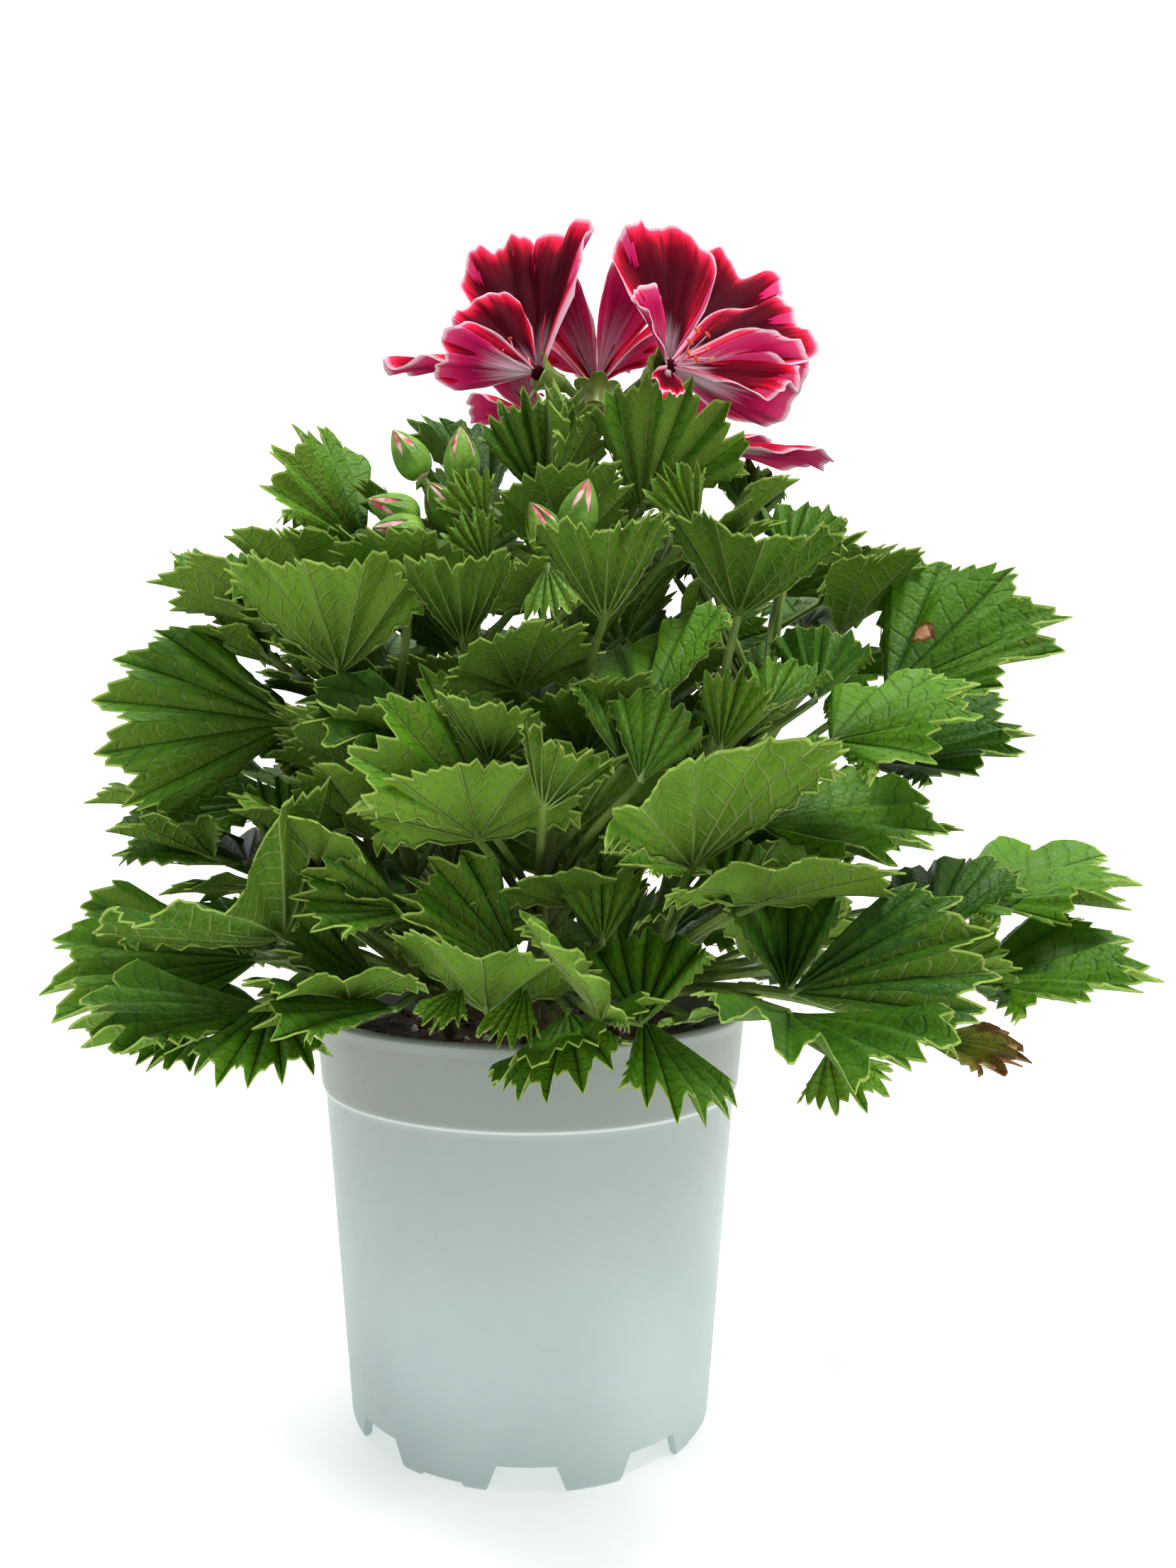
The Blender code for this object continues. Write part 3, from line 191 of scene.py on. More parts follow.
# Leaves that the front of the plant shows: where the blade meets its stalk in millimetres, then the rib's
# heading (0 to the front, 90 to the right) and rise, the turn about the rib, the size in millimetres, half
# the fan's angle, the fold along the rib, the funnel and the downward curl in degrees
FRONT_LEAVES = (
    # Nearest to the viewer
    ("stem_front_right", 36, -76, 155, 11, 42, 17, 48, 52, 2, 0, 4),
    # Crown
    ("flowering_stem", 29, -25, 244, 50, 64, 124, 36, 52, 5, 0, 4),
    ("flowering_stem", 4, -28, 245, -37, 71, -146, 30, 36, 1, 0, 0),
    ("flowering_stem", 7, -36, 241, -1, 74, -95, 33, 40, 0, 0, 0),
    ("flowering_stem", -12, 20, 254, -138, 59, -5, 40, 41, 16, 0, 4),
    ("stem_left", -48, 14, 241, -55, 61, -62, 40, 58, -4, 0, 4),
    ("flowering_stem", 42, -36, 237, -72, 61, -117, 19, 36, 0, 0, 0),
    ("stem_back_right", 62, 12, 248, 174, 54, 26, 30, 37, -7, 0, 0),
    ("stem_right", 70, -12, 233, 154, 47, 10, 28, 36, 6, 0, 0),
    ("stem_right", 70, 4, 226, 69, 37, 74, 30, 41, -14, 0, 4),
    ("stem_front", 17, -66, 211, -2, 31, 4, 36, 54, 46, 0, 4),
    ("stem_front_right", 50, -52, 214, -0, 22, -8, 40, 64, 40, 0, 4),
    ("budding_stem", -30, -16, 230, -149, 36, -17, 31, 60, 13, 0, 4),
    ("budding_stem", -16, -50, 207, 0, 28, 4, 36, 36, 33, 0, 0),
    ("budding_stem", -9, -26, 239, -68, 57, -112, 16, 44, -0, 0, 4),
    ("budding_stem", -10, -34, 228, -66, 63, -113, 16, 43, 0, 0, 4),
    ("stem_front", 4, -62, 224, 14, -60, 27, 15, 49, -14, 0, 4),
    # Left side
    ("stem_front_left", -47, -42, 201, -3, 36, -2, 44, 60, 30, 0, 4),
    ("stem_left", -80, 0, 213, -145, 56, -5, 37, 47, 29, 0, 4),
    ("stem_left", -64, 30, 231, -163, 54, 4, 28, 36, 22, 0, 0),
    ("stem_left", -64, -14, 189, -73, 10, -65, 52, 53, -14, 0, 4),
    ("stem_left", -66, 0, 168, -72, -2, -23, 48, 52, 19, 0, 4),
    ("stem_front_left", -25, -52, 189, -81, 13, -40, 31, 59, -0, 0, 4),
    ("stem_front_left", -62, -32, 151, -161, 56, -0, 30, 36, 31, 0, 0),
    ("stem_left", -74, -24, 152, -129, 14, -4, 40, 50, 1, 0, 4),
    ("stem_front_left", -59, -54, 137, -7, 19, 36, 52, 85, 39, 0, 4),
    ("stem_left", -74, -12, 125, -69, 0, -35, 56, 46, 20, 0, 4),
    ("stem_front_left", -63, -44, 118, -70, -0, -13, 48, 40, 10, 0, 0),
    ("stem_front_left", -62, -50, 122, -7, -17, 1, 29, 47, -1, 0, 4),
    ("stem_left", -88, -12, 108, -28, -19, -7, 24, 40, 2, 0, 0),
    ("stem_front_left", -28, -62, 146, -82, 16, -51, 28, 48, 34, 0, 4),
    ("stem_front_left", -36, -48, 125, -84, 35, -44, 30, 40, 36, 0, 0),
    ("stem_front_left", -32, -56, 125, -80, 8, -13, 34, 43, -1, 0, 4),
    # Middle
    ("stem_front", -10, -60, 181, -178, 53, 24, 44, 52, 14, 0, 4),
    ("stem_front", -9, -68, 178, -7, 36, -13, 26, 50, 32, 0, 4),
    ("stem_front", 3, -80, 168, 11, 35, -32, 28, 41, 39, 0, 4),
    ("stem_front", 27, -44, 194, -175, 60, -32, 44, 56, 11, 0, 4),
    ("stem_front", 21, -74, 178, -167, 54, 22, 26, 40, 16, 0, 0),
    ("stem_front", 24, -80, 174, 149, 54, 36, 27, 36, -14, 0, 0),
    ("stem_front", -8, -60, 155, -84, 55, -62, 44, 60, -14, 0, 4),
    ("stem_front", -1, -62, 129, -89, 38, -47, 37, 41, 34, 0, 4),
    ("stem_front", 17, -60, 136, -169, 85, -14, 22, 42, -0, 0, 4),
    ("stem_front", 25, -70, 121, 166, 48, 1, 37, 43, 13, 0, 4),
    ("stem_front", 16, -80, 122, -23, 43, -38, 34, 47, 4, 0, 4),
    ("stem_front", 9, -65, 121, -20, -33, 19, 25, 60, -6, 0, 4),
    ("stem_front", 26, -63, 119, 31, -29, -9, 31, 43, -7, 0, 4),
    ("stem_front", -1, -66, 127, -28, -39, -5, 18, 36, -14, 0, 0),
    ("stem_front", -16, -62, 126, -39, -34, -8, 14, 44, 11, 0, 4),
    # Right side
    ("stem_right", 94, -20, 197, 65, 28, 42, 49, 79, 25, 0, 4),
    ("stem_front_right", 57, -52, 191, 149, 35, 10, 25, 36, 5, 0, 0),
    ("stem_front_right", 71, -40, 194, 160, 48, 13, 30, 36, -4, 0, 0),
    ("stem_front_right", 69, -66, 183, 72, 27, 23, 35, 86, 4, 0, 4),
    ("stem_right", 95, 0, 179, 69, 16, 31, 44, 68, 19, 0, 4),
    ("stem_front_right", 44, -62, 181, 68, 74, 103, 21, 36, -0, 0, 0),
    ("stem_front_right", 37, -60, 153, -94, 25, -23, 31, 54, 14, 0, 4),
    ("stem_right", 58, -34, 163, 73, 4, 22, 46, 58, 11, 0, 4),
    ("stem_right", 117, 2, 140, 70, 13, 12, 51, 76, 9, 0, 4),
    ("stem_right", 105, -24, 131, 141, 34, -6, 36, 48, 6, 0, 4),
    ("stem_right", 113, -30, 122, 66, 13, 13, 45, 72, 13, 0, 4),
    ("stem_front_right", 59, -70, 126, 74, 25, 48, 46, 42, -14, 0, 4),
    ("stem_front_right", 56, -82, 124, 4, 1, -7, 48, 50, 23, 0, 4),
    ("stem_front_right", 59, -66, 126, 163, 48, -3, 33, 54, 48, 0, 4),
    ("stem_right", 100, -44, 124, 31, 18, -77, 24, 52, 48, 0, 4),
    ("stem_right", 106, -14, 104, 69, -2, 12, 28, 46, 6, 0, 4),
    ("stem_right", 74, -42, 104, 20, -28, 20, 19, 60, -6, 0, 4),
    ("stem_front_right", 46, -58, 138, 160, 52, 0, 23, 38, 13, 0, 0),
)

# Leaves of the back and of the inside, placed by rule in rings: the stems that carry them in turn, the
# ring's height, the blade feet's distance from the axis, first and last heading, count, rise and size
LeafRing = namedtuple("LeafRing", "stems z radius start end count rise size")
BACK_STEMS = ("stem_back_right", "stem_back", "stem_back_left")
FRONT_STEMS = ("stem_left", "stem_front_left", "stem_front", "stem_front_right", "stem_right")
MIDDLE_STEMS = ("flowering_stem", "budding_stem")
LEAF_RINGS = (
    LeafRing(BACK_STEMS, 112, 78, 118, 242, 4, 14, 40),
    LeafRing(BACK_STEMS, 140, 70, 112, 248, 4, 34, 40),
    LeafRing(BACK_STEMS, 172, 62, 118, 242, 4, 44, 40),
    LeafRing(BACK_STEMS, 206, 60, 130, 230, 3, 50, 37),
    LeafRing(MIDDLE_STEMS, 122, 27, 120, 290, 2, 62, 32),
    LeafRing(MIDDLE_STEMS, 150, 24, 20, 300, 2, 62, 34),
    LeafRing(MIDDLE_STEMS, 180, 27, 45, 315, 3, 62, 34),
    LeafRing(MIDDLE_STEMS, 212, 22, 90, 270, 2, 66, 32),
    LeafRing(FRONT_STEMS, 130, 44, -80, 80, 4, 40, 36),
    LeafRing(FRONT_STEMS, 165, 42, -80, 80, 4, 50, 36),
    LeafRing(FRONT_STEMS, 200, 42, -80, 80, 4, 55, 32),
)
RING_SEED = 7

# Smaller leaves between these, which the solids leave out, and how many ways of bending each are tried
SMALL_RINGS = (
    LeafRing(FRONT_STEMS, 120, 66, -95, 95, 8, 22, 31),
    LeafRing(FRONT_STEMS, 139, 60, -95, 95, 8, 32, 31),
    LeafRing(FRONT_STEMS, 158, 62, -95, 95, 8, 40, 31),
    LeafRing(FRONT_STEMS, 177, 55, -95, 95, 8, 46, 30),
    LeafRing(FRONT_STEMS, 196, 54, -95, 95, 7, 50, 29),
    LeafRing(FRONT_STEMS, 214, 46, -95, 95, 7, 54, 27),
    LeafRing(MIDDLE_STEMS, 230, 34, -90, 90, 6, 58, 26),
    LeafRing(MIDDLE_STEMS, 246, 24, -90, 90, 4, 60, 25),
    LeafRing(BACK_STEMS, 128, 50, 95, 265, 7, 40, 32),
    LeafRing(BACK_STEMS, 158, 46, 95, 265, 7, 50, 32),
    LeafRing(BACK_STEMS, 188, 42, 95, 265, 6, 55, 30),
    LeafRing(BACK_STEMS, 218, 36, 95, 265, 5, 60, 28),
    LeafRing(MIDDLE_STEMS, 243, 26, 100, 260, 4, 60, 26),
    LeafRing(("stem_right",), 206, 80, 50, 110, 4, 34, 32),
    LeafRing(("stem_left",), 210, 66, -110, -55, 3, 34, 30),
    LeafRing(("stem_front_right", "stem_right"), 150, 84, 35, 110, 4, 24, 30),
    LeafRing(("stem_left", "stem_front_left"), 150, 74, -110, -35, 4, 24, 30),
    LeafRing(("stem_right", "stem_back_right"), 236, 50, 60, 130, 4, 48, 31),
    LeafRing(("stem_right", "stem_back_right"), 220, 86, 70, 120, 4, 30, 32),
    LeafRing(("stem_left", "stem_back_left"), 214, 68, -75, -130, 4, 34, 32),
    LeafRing(("stem_left", "stem_back_left"), 160, 86, -70, -120, 3, 24, 32),
    LeafRing(("budding_stem",), 258, 32, -70, -150, 2, 50, 25),
    LeafRing(("stem_right", "stem_back_right"), 231, 46, 70, 150, 5, 40, 24),
    LeafRing(("stem_back_left",), 225, 40, -170, -110, 4, 46, 25),
    LeafRing(("stem_back_right",), 207, 74, 80, 130, 4, 32, 26),
    LeafRing(("stem_back_left",), 204, 72, -135, -80, 4, 28, 25),
)
SMALL_SEED = 23
SMALL_NUDGES = 22

# The leaf with a dry patch, and where on it
PATCHED_LEAF = ("stem_right", 94, -20, 197)
PATCH_AT = (0.46, -0.50)
PATCH_RADIUS = 0.0031

# Petals of each bloom, as the leaves: foot, heading, rise, turn, size, half fan, fold, funnel and curl
Bloom = namedtuple("Bloom", "name throat facing petals")
BLOOMS = (
    Bloom("bloom_left", (2, -12, 284), (-0.85, -0.25, 0.35), (
        (145, 76, -15, 46, 30, 14, 0, 2),
        (-150, 62, -37, 52, 25, 12, 0, 2),
        (-106, 50, -62, 30, 34, 10, 0, 4),
        (-52, -4, 60, 29, 32, 16, 0, -14),
        (-95, 5, -14, 42, 24, 12, 0, 0),
    )),
    Bloom("bloom_right", (36, -27, 281), (0.60, -0.75, 0.15), (
        (-177, 78, 12, 43, 32, 8, 0, 2),
        (135, 48, 43, 54, 30, 6, 0, 4),
        (96, 22, 55, 40, 36, 8, 0, 4),
        (65, -14, 40, 35, 27, 16, 0, 0),
        (87, -14, -47, 36, 38, 10, 0, -10),
        (-31, 32, -80, 24, 36, 40, 0, 0),
        (-14, -43, -34, 19, 24, 16, 0, -10),
    )),
    Bloom("bloom_low_right", (48, 18, 271), (0.62, 0.35, 0.70), (
        (92, 1, 0, 41, 24, 14, 0, 6),
        (134, 16, 0, 32, 34, 14, 0, 6),
        (176, 50, 0, 32, 34, 14, 0, 4),
        (60, 66, 0, 28, 30, 14, 0, 4),
    )),
)
# Petals of the blooms that are seen from behind or only from the back of the plant, placed by rule
RuleBloom = namedtuple("RuleBloom", "name throat facing opening size fan phase")
RULE_BLOOMS = (
    RuleBloom("bloom_middle", (19, 14, 288), (0.05, 0.40, 0.91), 26, 36, 23, 54),
    RuleBloom("bloom_back", (3, 34, 283), (0.05, 0.62, 0.78), 40, 29, 28, 50),
)
PETAL_COUNT = 5
THROAT_RADIUS = 0.0036

# Calyx: a cup with five pointed sepals, joined to its stalk
CALYX_RADIUS = 0.0034
CALYX_LENGTH = 0.0075
SEPAL_REACH = 0.0062
SEPAL_DROOP = 0.0030

# Buds: where each bunch branches, then each bud's tip, all in millimetres
Bunch = namedtuple("Bunch", "stem head tips")
BUNCHES = (
    Bunch("budding_stem", (-18, -20, 238), (
        (-36, -22, 266), (-18, -26, 266), (-42, -30, 246), (-40, -34, 238), (-26, -32, 250),
    )),
    Bunch("stem_front", (8, -50, 226), (
        (0, -56, 240), (14, -54, 246), (6, -60, 232),
    )),
)
BUD_RADIUS = 0.0042
BUD_LENGTH = 0.0150


def direction(heading, rise):
    """A unit vector from a heading (0 to the front, 90 to the right) and a rise, in degrees."""
    turn = math.radians(heading)
    lift = math.radians(rise)
    return Vector((math.sin(turn) * math.cos(lift), -math.cos(turn) * math.cos(lift), math.sin(lift)))


def around(radius, angle, height):
    """A point this far from the Z axis."""
    return Vector((math.cos(angle) * radius, math.sin(angle) * radius, height))


def tilted(opening, angle):
    """A unit vector this far from +Z, towards an angle round it, in radians."""
    return around(math.sin(opening), angle, math.cos(opening))


def bowed(start, bend, end, u):
    """The point at u, 0 to 1, on a bow from start to end that leans towards bend."""
    return start.lerp(bend, u).lerp(bend.lerp(end, u), u)


def aimed(way):
    """A turn of +Z to a way."""
    return way.to_track_quat("Z", "Y").to_matrix().to_4x4()


def scattered(draw):
    """A random vector in a cube of 2."""
    return Vector((draw.uniform(-1, 1), draw.uniform(-1, 1), draw.uniform(-1, 1)))


def baked(name, bm):
    """A mesh from a bmesh, which is used up."""
    mesh = bpy.data.meshes.new(name)
    bm.to_mesh(mesh)
    bm.free()
    return mesh


def faces_round(verts):
    """The faces that these vertices bear, in their order."""
    return list(dict.fromkeys(face for v in verts for face in v.link_faces))


def ripple(turns):
    """A smooth wave, from -1 to 1 and back in each whole turn."""
    return math.sin(math.tau * turns)


# Blades as the solids have them


def edge_reach(kind, s):
    """How far the blade's edge reaches at s, -1 to 1 across the fan, as a share of its size."""
    lobe = 0.5 - 0.5 * math.cos(math.pi * s * kind.waves)
    side = SIDE_SHORTENING * abs(s) ** 3 + kind.rounding * s ** 4
    return (1 - kind.lobe_depth * lobe) * (1 - side)


def fan_point(blade, t, s):
    """A blade's point in its own axes, +Y along the rib and +Z out of the upper face, t from foot to edge."""
    kind = KINDS[blade.kind]
    spread = math.radians(blade.fan) * s * (kind.claw + (1 - kind.claw) * t)
    reach = blade.size * MM * t * edge_reach(kind, s)
    lift = math.radians(blade.funnel - blade.curl * t)
    fold = math.radians(blade.fold)
    x = reach * math.cos(lift) * math.sin(spread)
    y = reach * math.cos(lift) * math.cos(spread)
    hinge = FOLD_ROUNDING * blade.size * MM
    wave = -kind.wave * blade.size * MM * t * math.cos(math.pi * s * kind.waves)
    z = reach * math.sin(lift) + (math.hypot(x, hinge) - hinge) * math.sin(fold) + wave
    return Vector((x * math.cos(fold), y, z))


def blade_frame(blade):
    """The blade's axes in the plant: its side, its rib and its upper face, at its foot."""
    rib = direction(blade.heading, blade.rise)
    face = direction(blade.heading, blade.rise + 90)
    face.rotate(Quaternion(rib, math.radians(blade.turn)))
    side = rib.cross(face)
    axes = Matrix((side, rib, face)).transposed().to_4x4()
    return Matrix.Translation(Vector((blade.x, blade.y, blade.z)) * MM) @ axes


def blade_bmesh(blade, thickness):
    """A blade as a thin closed solid, with its notched rim and the same triangles on both faces."""
    kind = KINDS[blade.kind]
    bm = bmesh.new()
    bmesh.ops.create_grid(bm, x_segments=kind.columns, y_segments=2, size=1)
    for v in bm.verts:
        if abs(v.co.y) < 0.001:
            v.co.y = 2 * kind.inner - 1
    foot = [v for v in bm.verts if v.co.y < -0.999]
    bmesh.ops.pointmerge(bm, verts=foot, merge_co=(0, -1, 0))
    rim = [e for e in bm.edges if all(v.co.y > 0.999 for v in e.verts)]
    large = blade.kind == "leaf" and blade.size > LARGE_LEAF
    bmesh.ops.subdivide_edges(bm, edges=rim, cuts=LARGE_LEAF_CUTS if large else kind.rim_cuts)
    notches = sorted((v for v in bm.verts if v.co.y > 0.999), key=lambda v: v.co.x)[1::2]
    for v in notches:
        v.co.z = -kind.tooth
    bmesh.ops.triangulate(bm, faces=bm.faces[:])
    frame = blade_frame(blade)
    for v in bm.verts:
        v.co = frame @ fan_point(blade, (v.co.y + 1) / 2 + v.co.z, v.co.x)
    bm.normal_update()
    for v in bm.verts:
        v.co += v.normal * thickness / 2
    bmesh.ops.solidify(bm, geom=bm.faces[:], thickness=thickness)
    bmesh.ops.recalc_face_normals(bm, faces=bm.faces[:])
    return bm


# Stems and stalks as the solids have them


def on_path(points, height):
    """The point of a stem at a height, held to its ends."""
    for low, high in zip(points, points[1:]):
        if low.z <= height <= high.z:
            return low.lerp(high, (height - low.z) / (high.z - low.z))
    return points[-1].copy() if height > points[-1].z else points[0].copy()


def stem_points(name):
    """A stem's points in metres, from its foot in the soil."""
    points = [Vector(p) * MM for p in STEMS[name]]
    return [points[0] - UP * STEM_SINK] + points


def stalk_points(blade):
    """The stalk from its stem out and up to the blade, ending a little way along the rib."""
    foot = Vector((blade.x, blade.y, blade.z)) * MM
    path = stem_points(blade.stem)[1:]
    away = (foot - on_path(path, foot.z)).to_2d().length
    root = on_path(path, max(POT_HEIGHT + RIM_CLEARANCE, foot.z - 0.6 * away - 6 * MM))
    rib = direction(blade.heading, blade.rise)
    bend = root.lerp(foot, 0.6) + UP * 0.10 * (foot - root).length - rib * 2 * MM
    points = []
    for step in range(STALK_STEPS + 1):
        u = step / STALK_STEPS
        points.append(bowed(root, bend, foot, u))
    start = (points[0] - points[1]).normalized() * STEM_TIP_RADIUS / 2
    points[0] = points[0] + start
    points.append(foot + rib * STALK_ROOT)
    return points


def probe_tube(points, radius):
    """A three-sided outline round a stalk, only to test what it would touch."""
    verts = []
    for i, point in enumerate(points):
        ahead = (points[min(i + 1, len(points) - 1)] - points[max(i - 1, 0)]).normalized()
        side = ahead.orthogonal().normalized()
        for k in range(3):
            verts.append(point + Quaternion(ahead, math.tau * k / 3) @ side * radius)
    faces = []
    for i in range(len(points) - 1):
        for k in range(3):
            a = 3 * i + k
            b = 3 * i + (k + 1) % 3
            faces.append((a, b, b + 3, a + 3))
    return BVHTree.FromPolygons(verts, faces)


# Keeping clear


def blade_probe(blade):
    """The blade with a skin of clearance round it."""
    thickness = PETAL_THICKNESS if blade.kind == "petal" else LEAF_THICKNESS
    bm = blade_bmesh(blade, thickness + 2 * CLEARANCE)
    tree = BVHTree.FromBMesh(bm)
    bm.free()
    return tree


def blade_trees(blade):
    """What a blade and its stalk would touch with."""
    trees = [blade_probe(blade)]
    if blade.kind != "petal":
        trees.append(probe_tube(stalk_points(blade), STALK_RADIUS + 3 * CLEARANCE))
    return trees


def touches(trees, others):
    """Whether any of the trees meets one of the others."""
    return any(tree.overlap(other) for tree in trees for other in others)


NUDGES = [(0, 0, 0, 0, 0)]
for amount in (1, 2, 3):
    for sign in (1, -1):
        NUDGES += [
            (5 * amount * sign, 0, 0, 0, 0),
            (0, 5 * amount * sign, 0, 0, 0),
            (0, 0, 8 * amount * sign, 0, 0),
            (0, 0, 0, 2.5 * amount * sign, 0),
            (0, 0, 0, 0, 2.5 * amount * sign),
            (5 * amount * sign, 5 * amount, 0, 0, 2 * amount),
            (5 * amount * sign, -5 * amount, 0, 0, -2 * amount),
        ]


def nudged(blade, nudge):
    """The blade with its heading, rise and turn changed a little, and on a leaf its place as well."""
    heading, rise, turn, out, up = nudge
    if blade.kind == "petal":
        out = up = 0
    away = Vector((blade.x, blade.y)).normalized() * out
    return blade._replace(
        heading=blade.heading + heading,
        rise=blade.rise + rise,
        turn=blade.turn + turn,
        x=blade.x + away.x,
        y=blade.y + away.y,
        z=blade.z + up,
    )


def crossings(trees, blades):
    """How many faces of a blade and its stalk cross the blades."""
    return sum(len(tree.overlap(other)) for tree in trees for other in blades)


def bent_clear(blade, placed, fixed, nudges=NUDGES):
    """The blade bent clear of all that other pieces bear, and as far as can be of its own stem's blades."""
    foreign = [tree for stem, trees in placed if stem != blade.stem for tree in trees] + fixed
    own = []
    if blade.kind != "petal":
        own = [trees[0] for stem, trees in placed if stem == blade.stem and len(trees) > 1]
    for share in (1.0, 0.85, 0.7):
        best = None
        least = math.inf
        for bends, nudge in enumerate(nudges):
            if bends >= least:
                break
            tried = nudged(blade._replace(size=blade.size * share), nudge)
            trees = blade_trees(tried)
            if touches(trees, foreign):
                continue
            cost = bends + crossings(trees, own)
            if cost < least:
                least = cost
                best = tried
        if best:
            return best
    return None


def ring_leaves(rings, seed):
    """Leaves in rings, with a seeded unevenness."""
    draw = random.Random(seed)
    leaves = []
    for ring in rings:
        for i in range(ring.count):
            heading = ring.start + (ring.end - ring.start) * i / (ring.count - 1) + draw.uniform(-6, 6)
            radius = ring.radius + draw.uniform(-6, 6)
            place = direction(heading, 0) * radius
            share = (heading - ring.start) / (ring.end - ring.start) * len(ring.stems)
            stem = ring.stems[max(0, min(len(ring.stems) - 1, int(share)))]
            leaves.append(Blade(
                "inner_leaf", stem, place.x, place.y, ring.z + draw.uniform(-6, 6),
                heading + draw.uniform(-14, 14), ring.rise + draw.uniform(-8, 8), draw.uniform(-14, 14),
                ring.size + draw.uniform(-5, 4), 92 + draw.uniform(-10, 8), 14 + draw.uniform(-8, 12),
                draw.choice((0, 0, 14)), 6 + draw.uniform(-4, 10),
            ))
    return leaves


def placed_leaves(fixed):
    """Every leaf of the plant, in order, each bent clear of those before it."""
    wanted = [Blade("leaf", *row) for row in FRONT_LEAVES] + ring_leaves(LEAF_RINGS, RING_SEED)
    wanted += ring_leaves(SMALL_RINGS, SMALL_SEED)
    solid_count = len(FRONT_LEAVES) + sum(ring.count for ring in LEAF_RINGS)
    placed = [(name, [probe_tube(stem_points(name), 2 * STEM_RADIUS)]) for name in STEMS]
    leaves = []
    for i, blade in enumerate(wanted):
        clear = bent_clear(blade, placed, fixed, NUDGES if i < solid_count else NUDGES[:SMALL_NUDGES])
        if clear is None:
            continue
        leaves.append(clear)
        placed.append((clear.stem, blade_trees(clear)))
    return leaves


# Blooms, calyxes and buds as the solids have them


def bloom_axes(facing):
    """Axes with +Z along the way that a bloom faces."""
    return Vector(facing).normalized().to_track_quat("Z", "Y")


def bloom_petals(bloom):
    """The petals of a bloom that the front shows, from its table."""
    x, y, z = bloom.throat
    return [Blade("petal", bloom.name, x, y, z, *row) for row in bloom.petals]


def rule_petals(bloom):
    """Five petals opened evenly round the way that a bloom faces, the upper two larger."""
    x, y, z = bloom.throat
    axes = bloom_axes(bloom.facing)
    petals = []
    for i in range(PETAL_COUNT):
        angle = math.radians(bloom.phase + 360 / PETAL_COUNT * i)
        opening = math.radians(bloom.opening)
        rib = axes @ tilted(opening, angle)
        heading = math.degrees(math.atan2(rib.x, -rib.y))
        rise = math.degrees(math.asin(max(-1, min(1, rib.z))))
        natural = direction(heading, rise + 90)
        inward = (axes @ Vector((0, 0, 1))) - rib * (axes @ Vector((0, 0, 1))).dot(rib)
        turn = math.degrees(math.atan2(natural.cross(inward).dot(rib), natural.dot(inward)))
        size = bloom.size * (1.08 if rib.z > 0.3 else 0.92)
        petals.append(Blade("petal", bloom.name, x, y, z, heading, rise, turn, size, bloom.fan, 12, 0, 14))
    return petals


def all_petals(fixed):
    """The petals of every bloom, each bent clear of the other blooms."""
    placed = []
    petals = []
    for bloom in BLOOMS + RULE_BLOOMS:
        rows = bloom_petals(bloom) if hasattr(bloom, "petals") else rule_petals(bloom)
        for blade in rows:
            clear = bent_clear(blade, placed, fixed)
            if clear is None:
                continue
            petals.append(clear)
            placed.append((bloom.name, [blade_probe(clear)]))
    return petals


def pedicel_points(bloom):
    """A bloom's stalk, from the head of the umbel into the calyx."""
    head = Vector(STEMS["flowering_stem"][-1]) * MM
    back = bloom_axes(bloom.facing) @ Vector((0, 0, -1))
    end = Vector(bloom.throat) * MM + back * (THROAT_RADIUS + GAP + CALYX_LENGTH * 0.7)
    bend = end + back * 0.4 * (end - head).length
    start = head - UP * 1.5 * MM
    return [bowed(start, bend, end, u) for u in (0, 0.33, 0.67, 1)]


def calyx_tree(bloom):
    """The solids' cup behind a throat, to test what would touch it."""
    bm = bmesh.new()
    bmesh.ops.create_cone(
        bm, cap_ends=True, segments=2 * PETAL_COUNT,
        radius1=PEDICEL_RADIUS, radius2=CALYX_RADIUS, depth=CALYX_LENGTH,
    )
    rim = sorted((v for v in bm.verts if v.co.z > 0), key=lambda v: math.atan2(v.co.y, v.co.x))
    for v in rim[::2]:
        v.co += Vector((v.co.x, v.co.y, 0)).normalized() * SEPAL_REACH - UP * SEPAL_DROOP
    bmesh.ops.triangulate(bm, faces=bm.faces[:])
    bmesh.ops.transform(bm, verts=bm.verts[:], matrix=calyx_place(bloom))
    tree = BVHTree.FromBMesh(bm)
    bm.free()
    return tree


def calyx_place(bloom):
    """Where a calyx stands: its middle behind the throat, +Z along the way that the bloom faces."""
    axes = bloom_axes(bloom.facing).to_matrix().to_4x4()
    behind = THROAT_RADIUS + GAP + CALYX_LENGTH / 2
    return Matrix.Translation(Vector(bloom.throat) * MM) @ axes @ Matrix.Translation((0, 0, -behind))


def bud_place(head, tip):
    """Where a bud stands: its middle, +Z towards its tip."""
    end = Vector(tip) * MM
    along = (end - Vector(head) * MM).normalized()
    return Matrix.Translation(end - along * BUD_LENGTH / 2) @ aimed(along)


def bud_stalk(head, tip):
    """The points of a bud's stalk."""
    start = Vector(head) * MM
    end = Vector(tip) * MM
    along = (end - start).normalized()
    return [start - along * 1.0 * MM, start.lerp(end, 0.5), end - along * BUD_LENGTH * 0.6]


def bud_tree(head, tip):
    """The solids' bud, to test what would touch it."""
    bm = bmesh.new()
    bmesh.ops.create_uvsphere(bm, u_segments=6, v_segments=5, radius=1)
    for v in bm.verts:
        taper = 1 - 0.35 * max(0, v.co.z)
        v.co = Vector((v.co.x * BUD_RADIUS * taper, v.co.y * BUD_RADIUS * taper, v.co.z * BUD_LENGTH / 2))
    bmesh.ops.triangulate(bm, faces=bm.faces[:])
    bmesh.ops.transform(bm, verts=bm.verts[:], matrix=bud_place(head, tip))
    tree = BVHTree.FromBMesh(bm)
    bm.free()
    return tree


